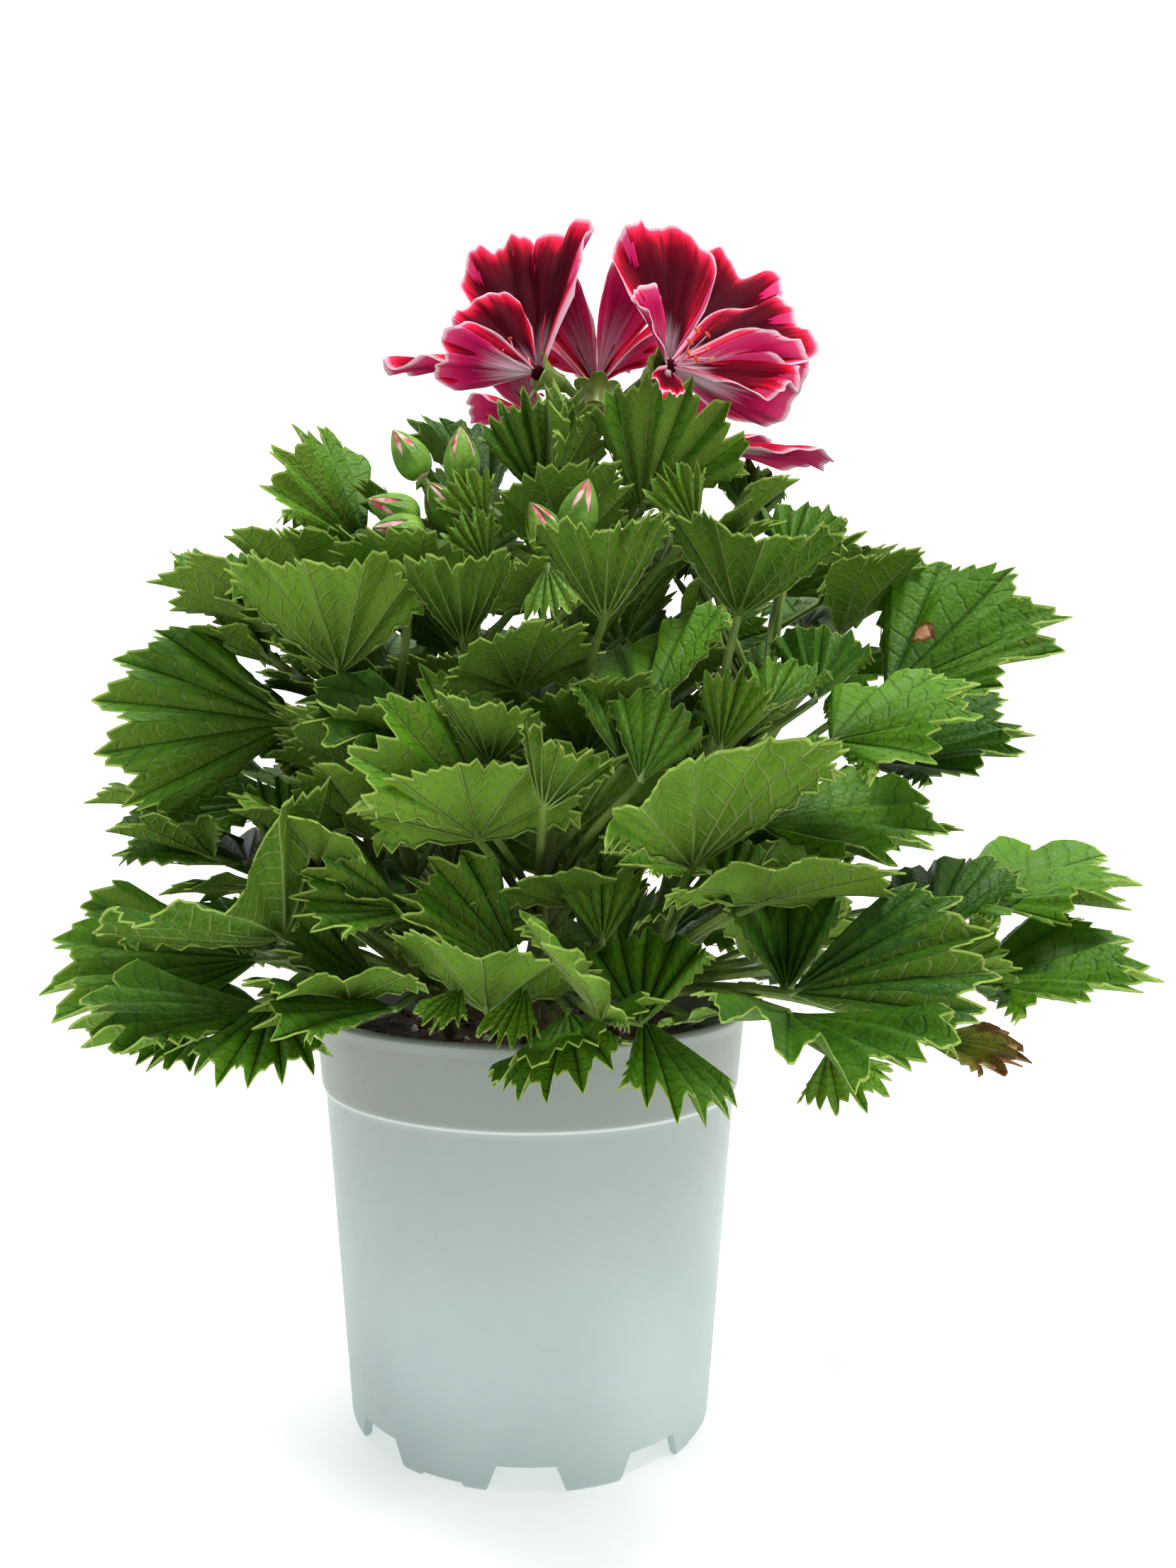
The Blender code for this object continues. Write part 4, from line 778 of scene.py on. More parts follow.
def green_trees():
    """What the calyxes, the buds and their stalks would touch with."""
    trees = []
    for bloom in BLOOMS + RULE_BLOOMS:
        trees += [calyx_tree(bloom), probe_tube(pedicel_points(bloom), PEDICEL_RADIUS)]
    for bunch in BUNCHES:
        for tip in bunch.tips:
            trees += [bud_tree(bunch.head, tip), probe_tube(bud_stalk(bunch.head, tip), PEDICEL_RADIUS)]
    return trees


POT_AXIS = (sum(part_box("pot"), Vector()) / 2) * Vector((1, 1, 0))


def solid_tree(node):
    """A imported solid's surface, moved to where the plant is laid out."""
    mesh = frame["nodes"][node].data
    points = [v.co - POT_AXIS for v in mesh.vertices]
    return BVHTree.FromPolygons(points, [tuple(p.vertices) for p in mesh.polygons])


# Finishes


def seen(red, green, blue):
    """A colour as a screen shows it, 0 to 255, as the linear colour that a shader takes."""
    linear = []
    for value in (red, green, blue):
        share = value / 255
        linear.append(share / 12.92 if share <= 0.04045 else ((share + 0.055) / 1.055) ** 2.4)
    return (*linear, 1)


class Flow:
    """A number, colour or vector in a material. Arithmetic on it adds Math nodes."""

    def __init__(self, tree, socket=None):
        self.tree = tree
        self.socket = socket

    def node(self, kind, settings=None, values=None, output=0):
        """A node with its settings, such as a ramp's stops, then its sockets' values or links."""
        made = self.tree.nodes.new(kind)
        for name, value in (settings or {}).items():
            if name == "stops":
                ramp = made.color_ramp
                while len(ramp.elements) < len(value):
                    ramp.elements.new(0.5)
                for element, (at, colour) in zip(ramp.elements, value):
                    element.position = at
                    element.color = colour
            else:
                setattr(made, name, value)
        for name, value in (values or {}).items():
            if isinstance(value, Flow):
                self.tree.links.new(value.socket, made.inputs[name])
            else:
                made.inputs[name].default_value = value
        return Flow(self.tree, made.outputs[output])

    def output(self, name):
        """Another output of the same node."""
        return Flow(self.tree, self.socket.node.outputs[name])

    def maths(self, operation, first, second=0.5, third=0.5):
        """A Math node."""
        return self.node("ShaderNodeMath", {"operation": operation}, {0: first, 1: second, 2: third})

    def __add__(self, other):
        return self.maths("ADD", self, other)

    __radd__ = __add__

    def __sub__(self, other):
        return self.maths("SUBTRACT", self, other)

    def __rsub__(self, other):
        return self.maths("SUBTRACT", other, self)

    def __mul__(self, other):
        return self.maths("MULTIPLY", self, other)

    __rmul__ = __mul__

    def __abs__(self):
        return self.maths("ABSOLUTE", self)

    def step(self, low, high):
        """0 below low and 1 above high, or the other way round, with a smooth change between."""
        limits = {"Value": self, "From Min": low, "From Max": high}
        return self.node("ShaderNodeMapRange", {"interpolation_type": "SMOOTHSTEP"}, limits)

    def nearest(self):
        """How far the number is from the nearest whole number."""
        return self.maths("PINGPONG", self, 0.5)

    def between(self, first, second):
        """A colour this far from the first to the second."""
        return self.node("ShaderNodeMix", {"data_type": "RGBA"}, {0: self, 6: first, 7: second}, 2)

    def noise(self, vector, scale, detail=3.0, roughness=0.55):
        """A cloudy pattern, 0 to 1."""
        values = {"Vector": vector, "Scale": scale, "Detail": detail, "Roughness": roughness}
        return self.node("ShaderNodeTexNoise", None, values)

    def place(self):
        """Object coordinates."""
        return self.node("ShaderNodeTexCoord", output="Object")

    def across_and_along(self):
        """A blade's own coordinates: -1 to 1 across it, and 0 to 1 from its foot to its edge."""
        spread = self.node("ShaderNodeUVMap", {"uv_map": "UVMap"})
        flat = self.node("ShaderNodeSeparateXYZ", None, {0: spread})
        return flat * 2 - 1, flat.output("Y")

    def tone(self):
        """A piece's own three numbers, from its tone attribute."""
        named = self.node("ShaderNodeAttribute", {"attribute_name": "tone"}, output="Vector")
        parts = self.node("ShaderNodeSeparateXYZ", None, {0: named})
        return parts, parts.output("Y"), parts.output("Z")

    def joined(self, x, y, z):
        """A vector from three numbers."""
        return self.node("ShaderNodeCombineXYZ", None, {0: x, 1: y, 2: z})


def finish(name, paint, shine, glow):
    """A material whose paint function gives its colour, roughness, height and the height's depth."""
    made = bpy.data.materials.new(name)
    made.use_nodes = True
    tree = made.node_tree
    shader = tree.nodes["Principled BSDF"]
    flow = Flow(tree)
    colour, roughness, height, depth = paint(flow)
    for slot, value in (("Base Color", colour), ("Roughness", roughness)):
        if isinstance(value, Flow):
            tree.links.new(value.socket, shader.inputs[slot])
        else:
            shader.inputs[slot].default_value = value
    if height is not None:
        bump = flow.node("ShaderNodeBump", None, {"Height": height, "Distance": depth, "Strength": 1.0})
        tree.links.new(bump.socket, shader.inputs["Normal"])
    shader.inputs["Specular IOR Level"].default_value = shine
    shader.inputs["Emission Strength"].default_value = glow
    if glow:
        tree.links.new(colour.socket, shader.inputs["Emission Color"])
    return made


def veins(flow):
    """A leaf's main veins, its side veins and the fine net between them, each 0 to 1."""
    across, along = flow.across_and_along()
    apart = (across * 3 + 6).nearest()
    main = (apart * along).step(0.030, 0.010)
    side = ((along * (1 - apart * 0.55)) * 8).nearest().step(0.12, 0.03) * along.step(0.15, 0.3)
    net = flow.node(
        "ShaderNodeTexVoronoi", {"feature": "DISTANCE_TO_EDGE"}, {"Vector": flow.place(), "Scale": 520.0}
    )
    return main, side, net.step(0.0, 0.28)


def leaf_rim(flow):
    """How near a leaf's point is to its toothed rim, 0 to 1."""
    across, along = flow.across_and_along()
    return flow.maths("MAXIMUM", along.step(0.982, 0.998), abs(across).step(0.988, 0.999))


def worn(flow, colour, age):
    """The colour with yellow and brown creeping in from the rim of an old leaf."""
    _, along = flow.across_and_along()
    patches = flow.noise(flow.place(), 85.0, 4.0)
    reach = age * (along * 0.75 + patches * 0.7)
    yellowed = (reach.step(0.45, 0.75) * 0.8).between(colour, seen(176, 160, 70))
    return reach.step(0.78, 0.92).between(yellowed, seen(128, 88, 48))


def patched(flow, colour):
    """The colour with one leaf's small dry patch, brown inside and darker round its edge."""
    row = next(row for row in FRONT_LEAVES if row[:4] == PATCHED_LEAF)
    blade = Blade("leaf", *row)
    spot = POT_AXIS + blade_frame(blade) @ fan_point(blade, *PATCH_AT)
    away = flow.node("ShaderNodeVectorMath", {"operation": "DISTANCE"}, {0: flow.place(), 1: spot}, 1)
    ragged = away + (flow.noise(flow.place(), 420.0) - 0.5) * 0.0036
    dry = ragged.step(PATCH_RADIUS * 0.9, PATCH_RADIUS * 0.6).between(seen(104, 58, 34), seen(186, 138, 100))
    return ragged.step(PATCH_RADIUS * 1.08, PATCH_RADIUS).between(colour, dry)


def foot_shade(flow, colour):
    """The colour deeper towards the leaf's foot: painted shade, where the leaves above shadow it."""
    _, along = flow.across_and_along()
    return (along.step(0.75, 0.05) * 0.5).between(colour, seen(20, 48, 6))


def leaf_top_paint(flow):
    """Green between grooved veins that painted shade darkens, with a pale toothed rim."""
    light, age, youth = flow.tone()
    main, side, net = veins(flow)
    cloud = flow.noise(flow.place(), 55.0)
    mottle = flow.noise(flow.place(), 420.0, 2.0)
    shade = light * 0.75 + cloud * 0.55 - 0.22
    colour = shade.step(0.0, 1.0).between(seen(34, 76, 8), seen(100, 152, 22))
    colour = youth.between(colour, seen(124, 168, 44))
    colour = foot_shade(flow, colour)
    colour = (mottle.step(0.45, 0.75) * 0.12).between(colour, seen(120, 160, 60))
    # Painted shade: the fine net, the side veins and the main veins darker, as if shadowed in their grooves
    colour = ((1 - net) * 0.14).between(colour, seen(36, 80, 20))
    colour = (side * 0.30).between(colour, seen(30, 66, 10))
    colour = (main * 0.45).between(colour, seen(26, 60, 8))
    colour = (leaf_rim(flow) * 0.85).between(colour, seen(160, 188, 84))
    colour = patched(flow, worn(flow, colour, age))
    height = net * 0.40 - main * 1.0 - side * 0.8 + mottle * 0.10
    return colour, mottle * 0.18 + 0.42, height, 0.00018


def leaf_under_paint(flow):
    """A paler green with raised pale veins."""
    light, age, youth = flow.tone()
    main, side, net = veins(flow)
    cloud = flow.noise(flow.place(), 60.0)
    mottle = flow.noise(flow.place(), 500.0, 2.0)
    shade = light * 0.75 + cloud * 0.55 - 0.2
    colour = shade.step(0.0, 1.0).between(seen(50, 88, 10), seen(114, 152, 44))
    colour = (youth * 0.6).between(colour, seen(140, 176, 62))
    colour = foot_shade(flow, colour)
    colour = ((1 - net) * 0.20).between(colour, seen(120, 150, 66))
    colour = (side * 0.35).between(colour, seen(138, 160, 90))
    colour = (main * 0.55).between(colour, seen(150, 170, 100))
    colour = (leaf_rim(flow) * 0.7).between(colour, seen(168, 192, 96))
    colour = patched(flow, worn(flow, colour, age))
    height = main * 1.2 + side * 0.9 - net * 0.4 + mottle * 0.15
    return colour, mottle * 0.15 + 0.60, height, 0.00030


def petal_parts(flow):
    """A petal's place along its rib, its streaks, and how far in it is, plain and with the streaks."""
    across, along = flow.across_and_along()
    own, _, _ = flow.tone()
    streaks = flow.noise(flow.joined(across * 15, along * 1.7, own * 40), 1.0, 4.0, 0.6)
    blotches = flow.noise(flow.place(), 160.0, 3.0)
    sides = (1 - abs(across)) * 0.55 + along.step(0.60, 0.20) * 0.4
    inward = flow.maths("SMOOTH_MIN", 1 - along, sides, 0.05) + 0.010
    inner = inward + (streaks - 0.5) * 0.34 + (blotches - 0.5) * 0.10
    return along, streaks, inward, inner


def petal_top_paint(flow):
    """Crimson with a dark streaked middle, a thin pale rim and a pale veined throat."""
    _, dark, pale = flow.tone()
    along, streaks, inward, inner = petal_parts(flow)
    colour = flow.node("ShaderNodeValToRGB", {"stops": (
        (0.0, seen(252, 216, 226)), (0.022, seen(246, 172, 190)), (0.046, seen(226, 60, 94)),
        (0.09, seen(210, 18, 54)), (0.20, seen(184, 10, 42)), (0.45, seen(152, 8, 36)),
    )}, {"Fac": inward})
    colour = (inner.step(0.05, 0.20) * dark).between(colour, seen(92, 4, 24))
    colour = (inner.step(0.14, 0.36) * dark).between(colour, seen(56, 2, 16))
    colour = (streaks.step(0.50, 0.62) * 0.20).between(colour, seen(112, 6, 30))
    foot = (along + (streaks - 0.5) * 0.3).step(0.36, 0.10) * pale
    throat = (streaks.step(0.47, 0.58) * 0.85).between(seen(236, 208, 220), seen(150, 22, 84))
    colour = foot.between(colour, throat)
    return colour, streaks * 0.15 + 0.50, streaks, 0.00030


def petal_under_paint(flow):
    """Magenta with a pale streaked foot and a pale rim."""
    _, _, pale = flow.tone()
    along, streaks, inward, inner = petal_parts(flow)
    colour = flow.node("ShaderNodeValToRGB", {"stops": (
        (0.0, seen(252, 226, 234)), (0.026, seen(246, 190, 210)), (0.06, seen(224, 72, 126)),
        (0.20, seen(204, 30, 96)), (0.5, seen(176, 20, 84)),
    )}, {"Fac": inward})
    colour = (inner.step(0.20, 0.40) * 0.45).between(colour, seen(112, 8, 50))
    foot = (along + (streaks - 0.5) * 0.7).step(0.66, 0.18) * pale
    colour = (foot * 0.85).between(colour, seen(240, 206, 222))
    return colour, streaks * 0.15 + 0.52, streaks, 0.00030


def stalk_paint(flow):
    """Pale green with fine lines along it."""
    cloud = flow.noise(flow.place(), 70.0)
    lines = flow.noise(flow.place(), 900.0, 2.0)
    colour = cloud.step(0.3, 0.7).between(seen(78, 106, 34), seen(118, 142, 60))
    colour = (lines.step(0.5, 0.8) * 0.3).between(colour, seen(146, 166, 90))
    return colour, 0.55, lines, 0.0002


def stem_paint(flow):
    """Green above, and brown and woody towards the soil."""
    height = flow.node("ShaderNodeSeparateXYZ", None, {0: flow.place()}).output("Z")
    cloud = flow.noise(flow.place(), 90.0)
    lines = flow.noise(flow.place(), 700.0, 3.0)
    woody = (height + cloud * 0.03).step(0.165, 0.125)
    green = cloud.step(0.3, 0.7).between(seen(72, 98, 36), seen(108, 132, 56))
    colour = (woody * 0.75).between(green, seen(104, 84, 54))
    return colour, 0.62, lines, 0.0003


def calyx_paint(flow):
    """Yellow-green with a little red in its fine lines."""
    cloud = flow.noise(flow.place(), 150.0)
    lines = flow.noise(flow.place(), 800.0, 2.0)
    colour = cloud.step(0.35, 0.7).between(seen(84, 116, 34), seen(138, 158, 62))
    colour = (lines.step(0.55, 0.8) * 0.3).between(colour, seen(140, 92, 70))
    return colour, 0.5, lines, 0.0002


def bud_paint(flow):
    """Fresh green with a pale down."""
    cloud = flow.noise(flow.place(), 140.0)
    fuzz = flow.noise(flow.place(), 900.0, 2.0)
    colour = cloud.step(0.35, 0.7).between(seen(84, 130, 34), seen(128, 170, 60))
    colour = (fuzz.step(0.5, 0.8) * 0.25).between(colour, seen(160, 186, 104))
    return colour, 0.5, fuzz, 0.0003


def bud_petal_paint(flow):
    """Pink with pale creases."""
    cloud = flow.noise(flow.place(), 260.0)
    colour = cloud.step(0.38, 0.58).between(seen(216, 84, 106), seen(248, 206, 200))
    return colour, 0.5, cloud, 0.0003


def hair_paint(flow):
    """Pale green, nearly white."""
    cloud = flow.noise(flow.place(), 200.0)
    return cloud.between(seen(188, 206, 140), seen(226, 234, 196)), 0.5, None, 0


def anther_paint(flow):
    """Rust to orange."""
    grain = flow.noise(flow.place(), 1500.0)
    return grain.step(0.35, 0.65).between(seen(188, 52, 22), seen(232, 112, 44)), 0.7, grain, 0.0002


def filament_paint(flow):
    """Pink to nearly white."""
    cloud = flow.noise(flow.place(), 300.0)
    return cloud.step(0.4, 0.6).between(seen(226, 120, 160), seen(244, 208, 220)), 0.45, None, 0


def pot_paint(flow):
    """A pale blue-grey plastic with specks of dirt, and painted shade: greyer upwards, darker on the collar
    and at the rim, and a painted highlight on the edge under its collar.
    """
    place = flow.place()
    cloud = flow.noise(place, 16.0, 4.0)
    fine = flow.noise(place, 260.0, 3.0)
    grain = flow.noise(place, 1600.0, 2.0)
    cells = flow.node("ShaderNodeTexVoronoi", None, {"Vector": place, "Scale": 95.0})
    pick = flow.node("ShaderNodeSeparateColor", None, {0: cells.output("Color")})
    specks = cells.step(0.085, 0.05) * pick.step(0.90, 0.92)
    height = flow.node("ShaderNodeSeparateXYZ", None, {0: place}).output("Z")
    colour = cloud.step(0.3, 0.7).between(seen(178, 195, 194), seen(190, 207, 206))
    # Painted shade: the rim greyer under the leaves
    rim_painted_shade = (height + fine * 0.01).step(0.104, 0.113) * 0.25
    colour = rim_painted_shade.between(colour, seen(176, 180, 170))
    colour = (fine.step(0.62, 0.80) * 0.10).between(colour, seen(160, 168, 164))
    # Painted shade: greyer upwards, where the leaves shadow the pot
    painted_shade_upwards = (height + cloud * 0.02).step(0.035, 0.100) * 0.68
    colour = painted_shade_upwards.between(colour, seen(146, 154, 147))
    # Painted shade: the collar darker, where the leaves shadow it
    collar_painted_shade = height.step(POT_HEIGHT - COLLAR_DROP, POT_HEIGHT - COLLAR_DROP + 0.0012) * 0.85
    colour = collar_painted_shade.between(colour, seen(130, 138, 129))
    # Painted highlight: a light line along the edge under the collar
    edge = abs(height - (POT_HEIGHT - COLLAR_DROP)).step(0.0006, 0.0001) * 0.5
    colour = edge.between(colour, seen(226, 232, 230))
    colour = (specks * 0.8).between(colour, seen(92, 84, 74))
    return colour, fine * 0.16 + 0.34, grain + specks * 2, 0.00004


def soil_paint(flow):
    """Dark brown, with lighter grains."""
    place = flow.place()
    cloud = flow.noise(place, 120.0, 5.0)
    grain = flow.noise(place, 900.0, 4.0)
    colour = cloud.step(0.3, 0.7).between(seen(30, 22, 16), seen(74, 56, 40))
    colour = (grain.step(0.6, 0.75) * 0.5).between(colour, seen(112, 92, 68))
    return colour, 0.92, cloud + grain * 0.5, 0.0016


def crumb_paint(flow):
    """Bark brown, and a few crumbs of white grit."""
    kind, _, _ = flow.tone()
    grain = flow.noise(flow.place(), 1100.0, 4.0)
    bark = grain.between(seen(40, 28, 18), seen(96, 70, 46))
    colour = kind.step(0.86, 0.90).between(bark, seen(206, 204, 194))
    return colour, 0.9, grain, 0.0006


def floor_paint(flow):
    """Nearly white."""
    cloud = flow.noise(flow.place(), 3.0)
    return cloud.between(seen(236, 237, 237), seen(240, 240, 240)), 0.7, None, 0


# Each finish with its paint, how much it reflects and how much of its colour it sends out by itself
LOOKS = (
    ("leaf_top", leaf_top_paint, 0.22, 0.0),
    ("leaf_under", leaf_under_paint, 0.10, 0.0),
    ("petal_top", petal_top_paint, 0.02, 0.0),
    ("petal_under", petal_under_paint, 0.02, 0.0),
    ("stalk", stalk_paint, 0.5, 0.0),
    ("stem", stem_paint, 0.5, 0.0),
    ("calyx", calyx_paint, 0.5, 0.0),
    ("bud", bud_paint, 0.25, 0.0),
    ("bud_petal", bud_petal_paint, 0.5, 0.0),
    ("hair", hair_paint, 0.5, 0.0),
    ("anther", anther_paint, 0.5, 0.0),
    ("filament", filament_paint, 0.5, 0.0),
    ("pot_plastic", pot_paint, 0.5, 0.0),
    ("soil", soil_paint, 0.5, 0.0),
    ("crumb", crumb_paint, 0.5, 0.0),
    ("floor", floor_paint, 0.5, 0.5),
    ("backdrop", floor_paint, 0.5, 1.0),
)
FINISHES = {name: finish(name, paint, shine, glow) for name, paint, shine, glow in LOOKS}


# Making and keeping pieces


def new_piece(name, bm, finishes, nodes, sharp=40):
    """A finished piece from a bmesh, moved to the pot's place, that stands for solids of the part."""
    return dressed(name, baked(name, bm), finishes, nodes, sharp)


def dressed(name, mesh, finishes, nodes, sharp=40):
    """A finished piece from a mesh, moved to the pot's place, that stands for solids of the part."""
    mesh.transform(Matrix.Translation(POT_AXIS))
    for v in mesh.vertices:
        v.co = [max(low, min(high, value)) for value, low, high in zip(v.co, *SOLID_BOX)]
    for finish_name in finishes:
        mesh.materials.append(FINISHES[finish_name])
    for face in mesh.polygons:
        face.use_smooth = True
    mesh.set_sharp_from_angle(angle=math.radians(sharp))
    made = bpy.data.objects.new(name, mesh)
    bpy.context.scene.collection.objects.link(made)
    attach(made, "root")
    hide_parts(*nodes)
    return made


def smooth(value, low, high):
    """0 below low, 1 above high, with a smooth change between."""
    share = max(0.0, min(1.0, (value - low) / (high - low)))
    return share * share * (3 - 2 * share)


def crest(value):
    """A pointed wave: 1 at whole numbers and 0 halfway between them."""
    return abs(2 * (value - math.floor(value)) - 1)


# Leaves

# Rows from a leaf's foot to its rim, and columns for each small tooth
LEAF_ROWS = 12
LEAF_STEPS = 4
INNER_LEAF_ROWS = 9
INNER_LEAF_STEPS = 2
# Teeth: how many large ones, the most small ones, and the small ones' pitch in millimetres
LARGE_TEETH = 5
MOST_TEETH = 30
TOOTH_PITCH = 4.1
# How deep the small teeth are, in metres, and those of the large and the side teeth, as a share of the leaf
FINE_NOTCH = 0.0038
COARSE_NOTCH = 0.040
SIDE_NOTCH = 0.075
# The sheet's thickness and its grooves' depth in metres, the grooves' width as a share of the space between
# veins, and the pleats and ripples as a share of the leaf
LEAF_SHEET = 0.00045
GROOVE = 0.00045
GROOVE_WIDTH = 0.13
PLEAT = 0.009
RIM_RIPPLE = 0.026
BROAD_RIPPLE = 0.012
# How much closer a blade's rows are towards its edge
ROW_CROWDING = 1.5

Cut = namedtuple("Cut", "coarse fine rows columns phases")


def leaf_cut(blade, draw):
    """How a leaf's rim is cut: its large teeth, its small teeth and where its ripples start."""
    rim = 2 * math.radians(blade.fan) * blade.size
    fine = min(MOST_TEETH, 2 * max(4, round(rim / TOOTH_PITCH / 2)))
    rows, steps = (LEAF_ROWS, LEAF_STEPS) if blade.kind == "leaf" else (INNER_LEAF_ROWS, INNER_LEAF_STEPS)
    return Cut(LARGE_TEETH, fine, rows, steps * fine, [draw.random() for _ in range(4)])


def leaf_point(blade, cut, t, s):
    """A finished leaf's point in its own axes, over the solid's fan."""
    first, second, third, fourth = cut.phases
    uneven = 0.80 + 0.35 * ripple(2.3 * s + first) + 0.25 * ripple(5.1 * s + second)
    fine = FINE_NOTCH / (blade.size * MM) * uneven * (1 - crest(s * cut.fine / 2))
    notch = COARSE_NOTCH * (1 - crest(s * cut.coarse / 2)) ** 1.4 + fine
    near_rim = smooth(t, 0.60, 1.0)
    lean = -0.22 * s / cut.fine * crest(s * cut.fine / 2) * near_rim
    row = (1 - (1 - t) ** (1 / ROW_CROWDING)) * cut.rows
    lean -= SIDE_NOTCH * s * smooth(abs(s), 0.90, 1.0) * smooth(t, 0.2, 0.45) * (1 - crest(row / 2))
    point = fan_point(blade, t * (1 - notch * near_rim), s + lean)
    size = blade.size * MM
    apart = (1 - crest(s * 3)) / 2
    point.z -= GROOVE * max(0.0, 1 - apart / GROOVE_WIDTH) * min(1.0, 3 * t)
    point.z -= PLEAT * size * t * t * math.cos(math.pi * s * cut.fine)
    point.z += RIM_RIPPLE * size * near_rim * ripple(2.2 * s + third)
    point.z += BROAD_RIPPLE * size * t * t * ripple(0.9 * s + fourth)
    return point


def add_leaf(bm, blade, cut, tone):
    """A finished leaf in a bmesh: a pleated sheet with a toothed rim."""
    made = bmesh.ops.create_grid(bm, x_segments=cut.columns, y_segments=cut.rows, size=1)
    laid_sheet(bm, made["verts"], partial(leaf_point, blade, cut), blade, tone, LEAF_SHEET)


def along_rib(flat):
    """How far from foot to edge a flat grid's vertex is laid, 0 to 1, with rows closer towards the edge."""
    return 1 - (1 - (flat.y + 1) / 2) ** ROW_CROWDING


def laid_sheet(bm, verts, surface, blade, tone, thickness):
    """Lay a flat grid on a blade's surface, bring its foot together and give it a thickness."""
    uv = bm.loops.layers.uv.verify()
    own = bm.verts.layers.float_vector["tone"]
    faces = faces_round(verts)
    for face in faces:
        for corner in face.loops:
            flat = corner.vert.co
            corner[uv].uv = ((flat.x + 1) / 2, along_rib(flat))
    foot = [v for v in verts if v.co.y < -0.999]
    bmesh.ops.pointmerge(bm, verts=foot, merge_co=(0, -1, 0))
    verts = [v for v in verts if v.is_valid]
    place = blade_frame(blade)
    for v in verts:
        v[own] = tone
        v.co = place @ surface(along_rib(v.co), v.co.x)
    faces = [face for face in faces if face.is_valid]
    for v in verts:
        v.normal_update()
    for v in verts:
        v.co += v.normal * thickness / 2
    under = bmesh.ops.solidify(bm, geom=faces, thickness=thickness)
    for face in under["geom"]:
        if isinstance(face, bmesh.types.BMFace):
            face.material_index = 1


def blank_blades():
    """An empty bmesh for sheets, with a tone for each vertex."""
    bm = bmesh.new()
    bm.loops.layers.uv.new("UVMap")
    bm.verts.layers.float_vector.new("tone")
    return bm


# Hairs

# Their radius and length, how many stand on a tooth and on a leaf's side, and on each round thing how far out
# they stand and their spacing
HAIR_RADIUS = 0.000035
HAIR_LENGTH = 0.0011
TOOTH_HAIRS = 3
SIDE_HAIRS = 16
STALK_HAIRS = (0.0011, 0.0011)
STEM_HAIRS = (0.0022, 0.0009)
PEDICEL_HAIRS = (0.0012, 0.0004)
BUD_STALK_HAIRS = (0.0010, 0.0006)
BUD_HAIRS = (BUD_RADIUS * 0.98, 0.00016)


def add_hair(bm, root, way, length):
    """One fine pointed hair."""
    bmesh.ops.create_cone(
        bm, cap_ends=True, cap_tris=True, segments=3, radius1=HAIR_RADIUS, radius2=0, depth=length,
        matrix=Matrix.Translation(root + way * length / 2) @ aimed(way),
    )


def rim_hairs(blade, surface, draw, rim_steps, side_steps):
    """Hairs along a leaf's rim and its two sides, as roots and ways."""
    place = blade_frame(blade)
    hairs = []
    for i in range(rim_steps):
        s = -1 + 2 * (i + draw.random()) / rim_steps
        hairs.append((surface(0.995, s), surface(0.90, s)))
    for side in (-1, 1):
        for i in range(side_steps):
            t = 0.06 + 0.9 * (i + draw.random()) / side_steps
            hairs.append((surface(t, side * 0.995), surface(t, side * 0.90)))
    placed = []
    for root, inner in hairs:
        way = place.to_3x3() @ (root - inner)
        placed.append((place @ root, (way.normalized() + scattered(draw) * 0.35).normalized()))
    return placed


def rod_hairs(points, radius, spacing, draw):
    """Hairs that stand out all round a stalk or stem."""
    placed = []
    for low, high in zip(points, points[1:]):
        along = high - low
        count = int(along.length / spacing + draw.random())
        for _ in range(count):
            root = low.lerp(high, draw.random())
            side = Quaternion(along.normalized(), draw.uniform(0, math.tau)) @ along.orthogonal().normalized()
            way = (side + along.normalized() * draw.uniform(-0.2, 0.5)).normalized()
            placed.append((root + side * radius * 0.8, way))
    return placed


def hair_piece(name, bunches, nodes, draw):
    """All the hairs of a stem as one piece."""
    whole = bmesh.new()
    for placed in bunches:
        bm = bmesh.new()
        for root, way in placed:
            add_hair(bm, root, way, HAIR_LENGTH * draw.uniform(0.5, 1.15))
        bmesh.ops.remove_doubles(bm, verts=bm.verts[:], dist=1e-6)
        mesh = baked("hairs", bm)
        whole.from_mesh(mesh)
        bpy.data.meshes.remove(mesh)
    new_piece(name, whole, ["hair"], nodes, sharp=180)


# Rods: stems, stalks, veins, filaments

# Points along a stem, a leaf's stalk, a flower's stalk and a bud's, and the radii at their two ends
STEM_STEPS = 40
STALK_LINE_STEPS = 12
STALK_RADII = (0.00125, 0.00100)
PEDICEL_STEPS = 14
PEDICEL_RADII = (0.0011, 0.0013)
BUD_STALK_STEPS = 10
BUD_STALK_RADII = (0.0010, 0.0009)
# Where a stalk runs on under the leaf's main vein, as shares of the leaf, and its radii there
STALK_TAIL = (0.06, 0.14)
STALK_TAIL_RADII = [0.00075, 0.00045]
TAIL_DEPTH = 0.0003
# The veins under a leaf: where their points are, how far they stand out, and the radii at their two ends
VEIN_STEPS = (0.02, 0.15, 0.3, 0.45, 0.6, 0.75, 0.88)
VEIN_DEPTH = 0.00018
VEIN_RADII = (0.00032, 0.00008)


def rods_mesh(rods, resolution=1):
    """Round rods, each a list of points with their radii, as one mesh."""
    curve = bpy.data.curves.new("rods", "CURVE")
    curve.dimensions = "3D"
    curve.bevel_depth = 1
    curve.bevel_resolution = resolution
    curve.use_fill_caps = True
    for points, radii in rods:
        spline = curve.splines.new("POLY")
        spline.points.add(len(points) - 1)
        for slot, point, radius in zip(spline.points, points, radii):
            slot.co = (*point, 1)
            slot.radius = radius
    guide = bpy.data.objects.new("rods", curve)
    bpy.context.scene.collection.objects.link(guide)
    mesh = bpy.data.meshes.new_from_object(guide.evaluated_get(bpy.context.evaluated_depsgraph_get()))
    bpy.data.objects.remove(guide)
    bpy.data.curves.remove(curve)
    return mesh


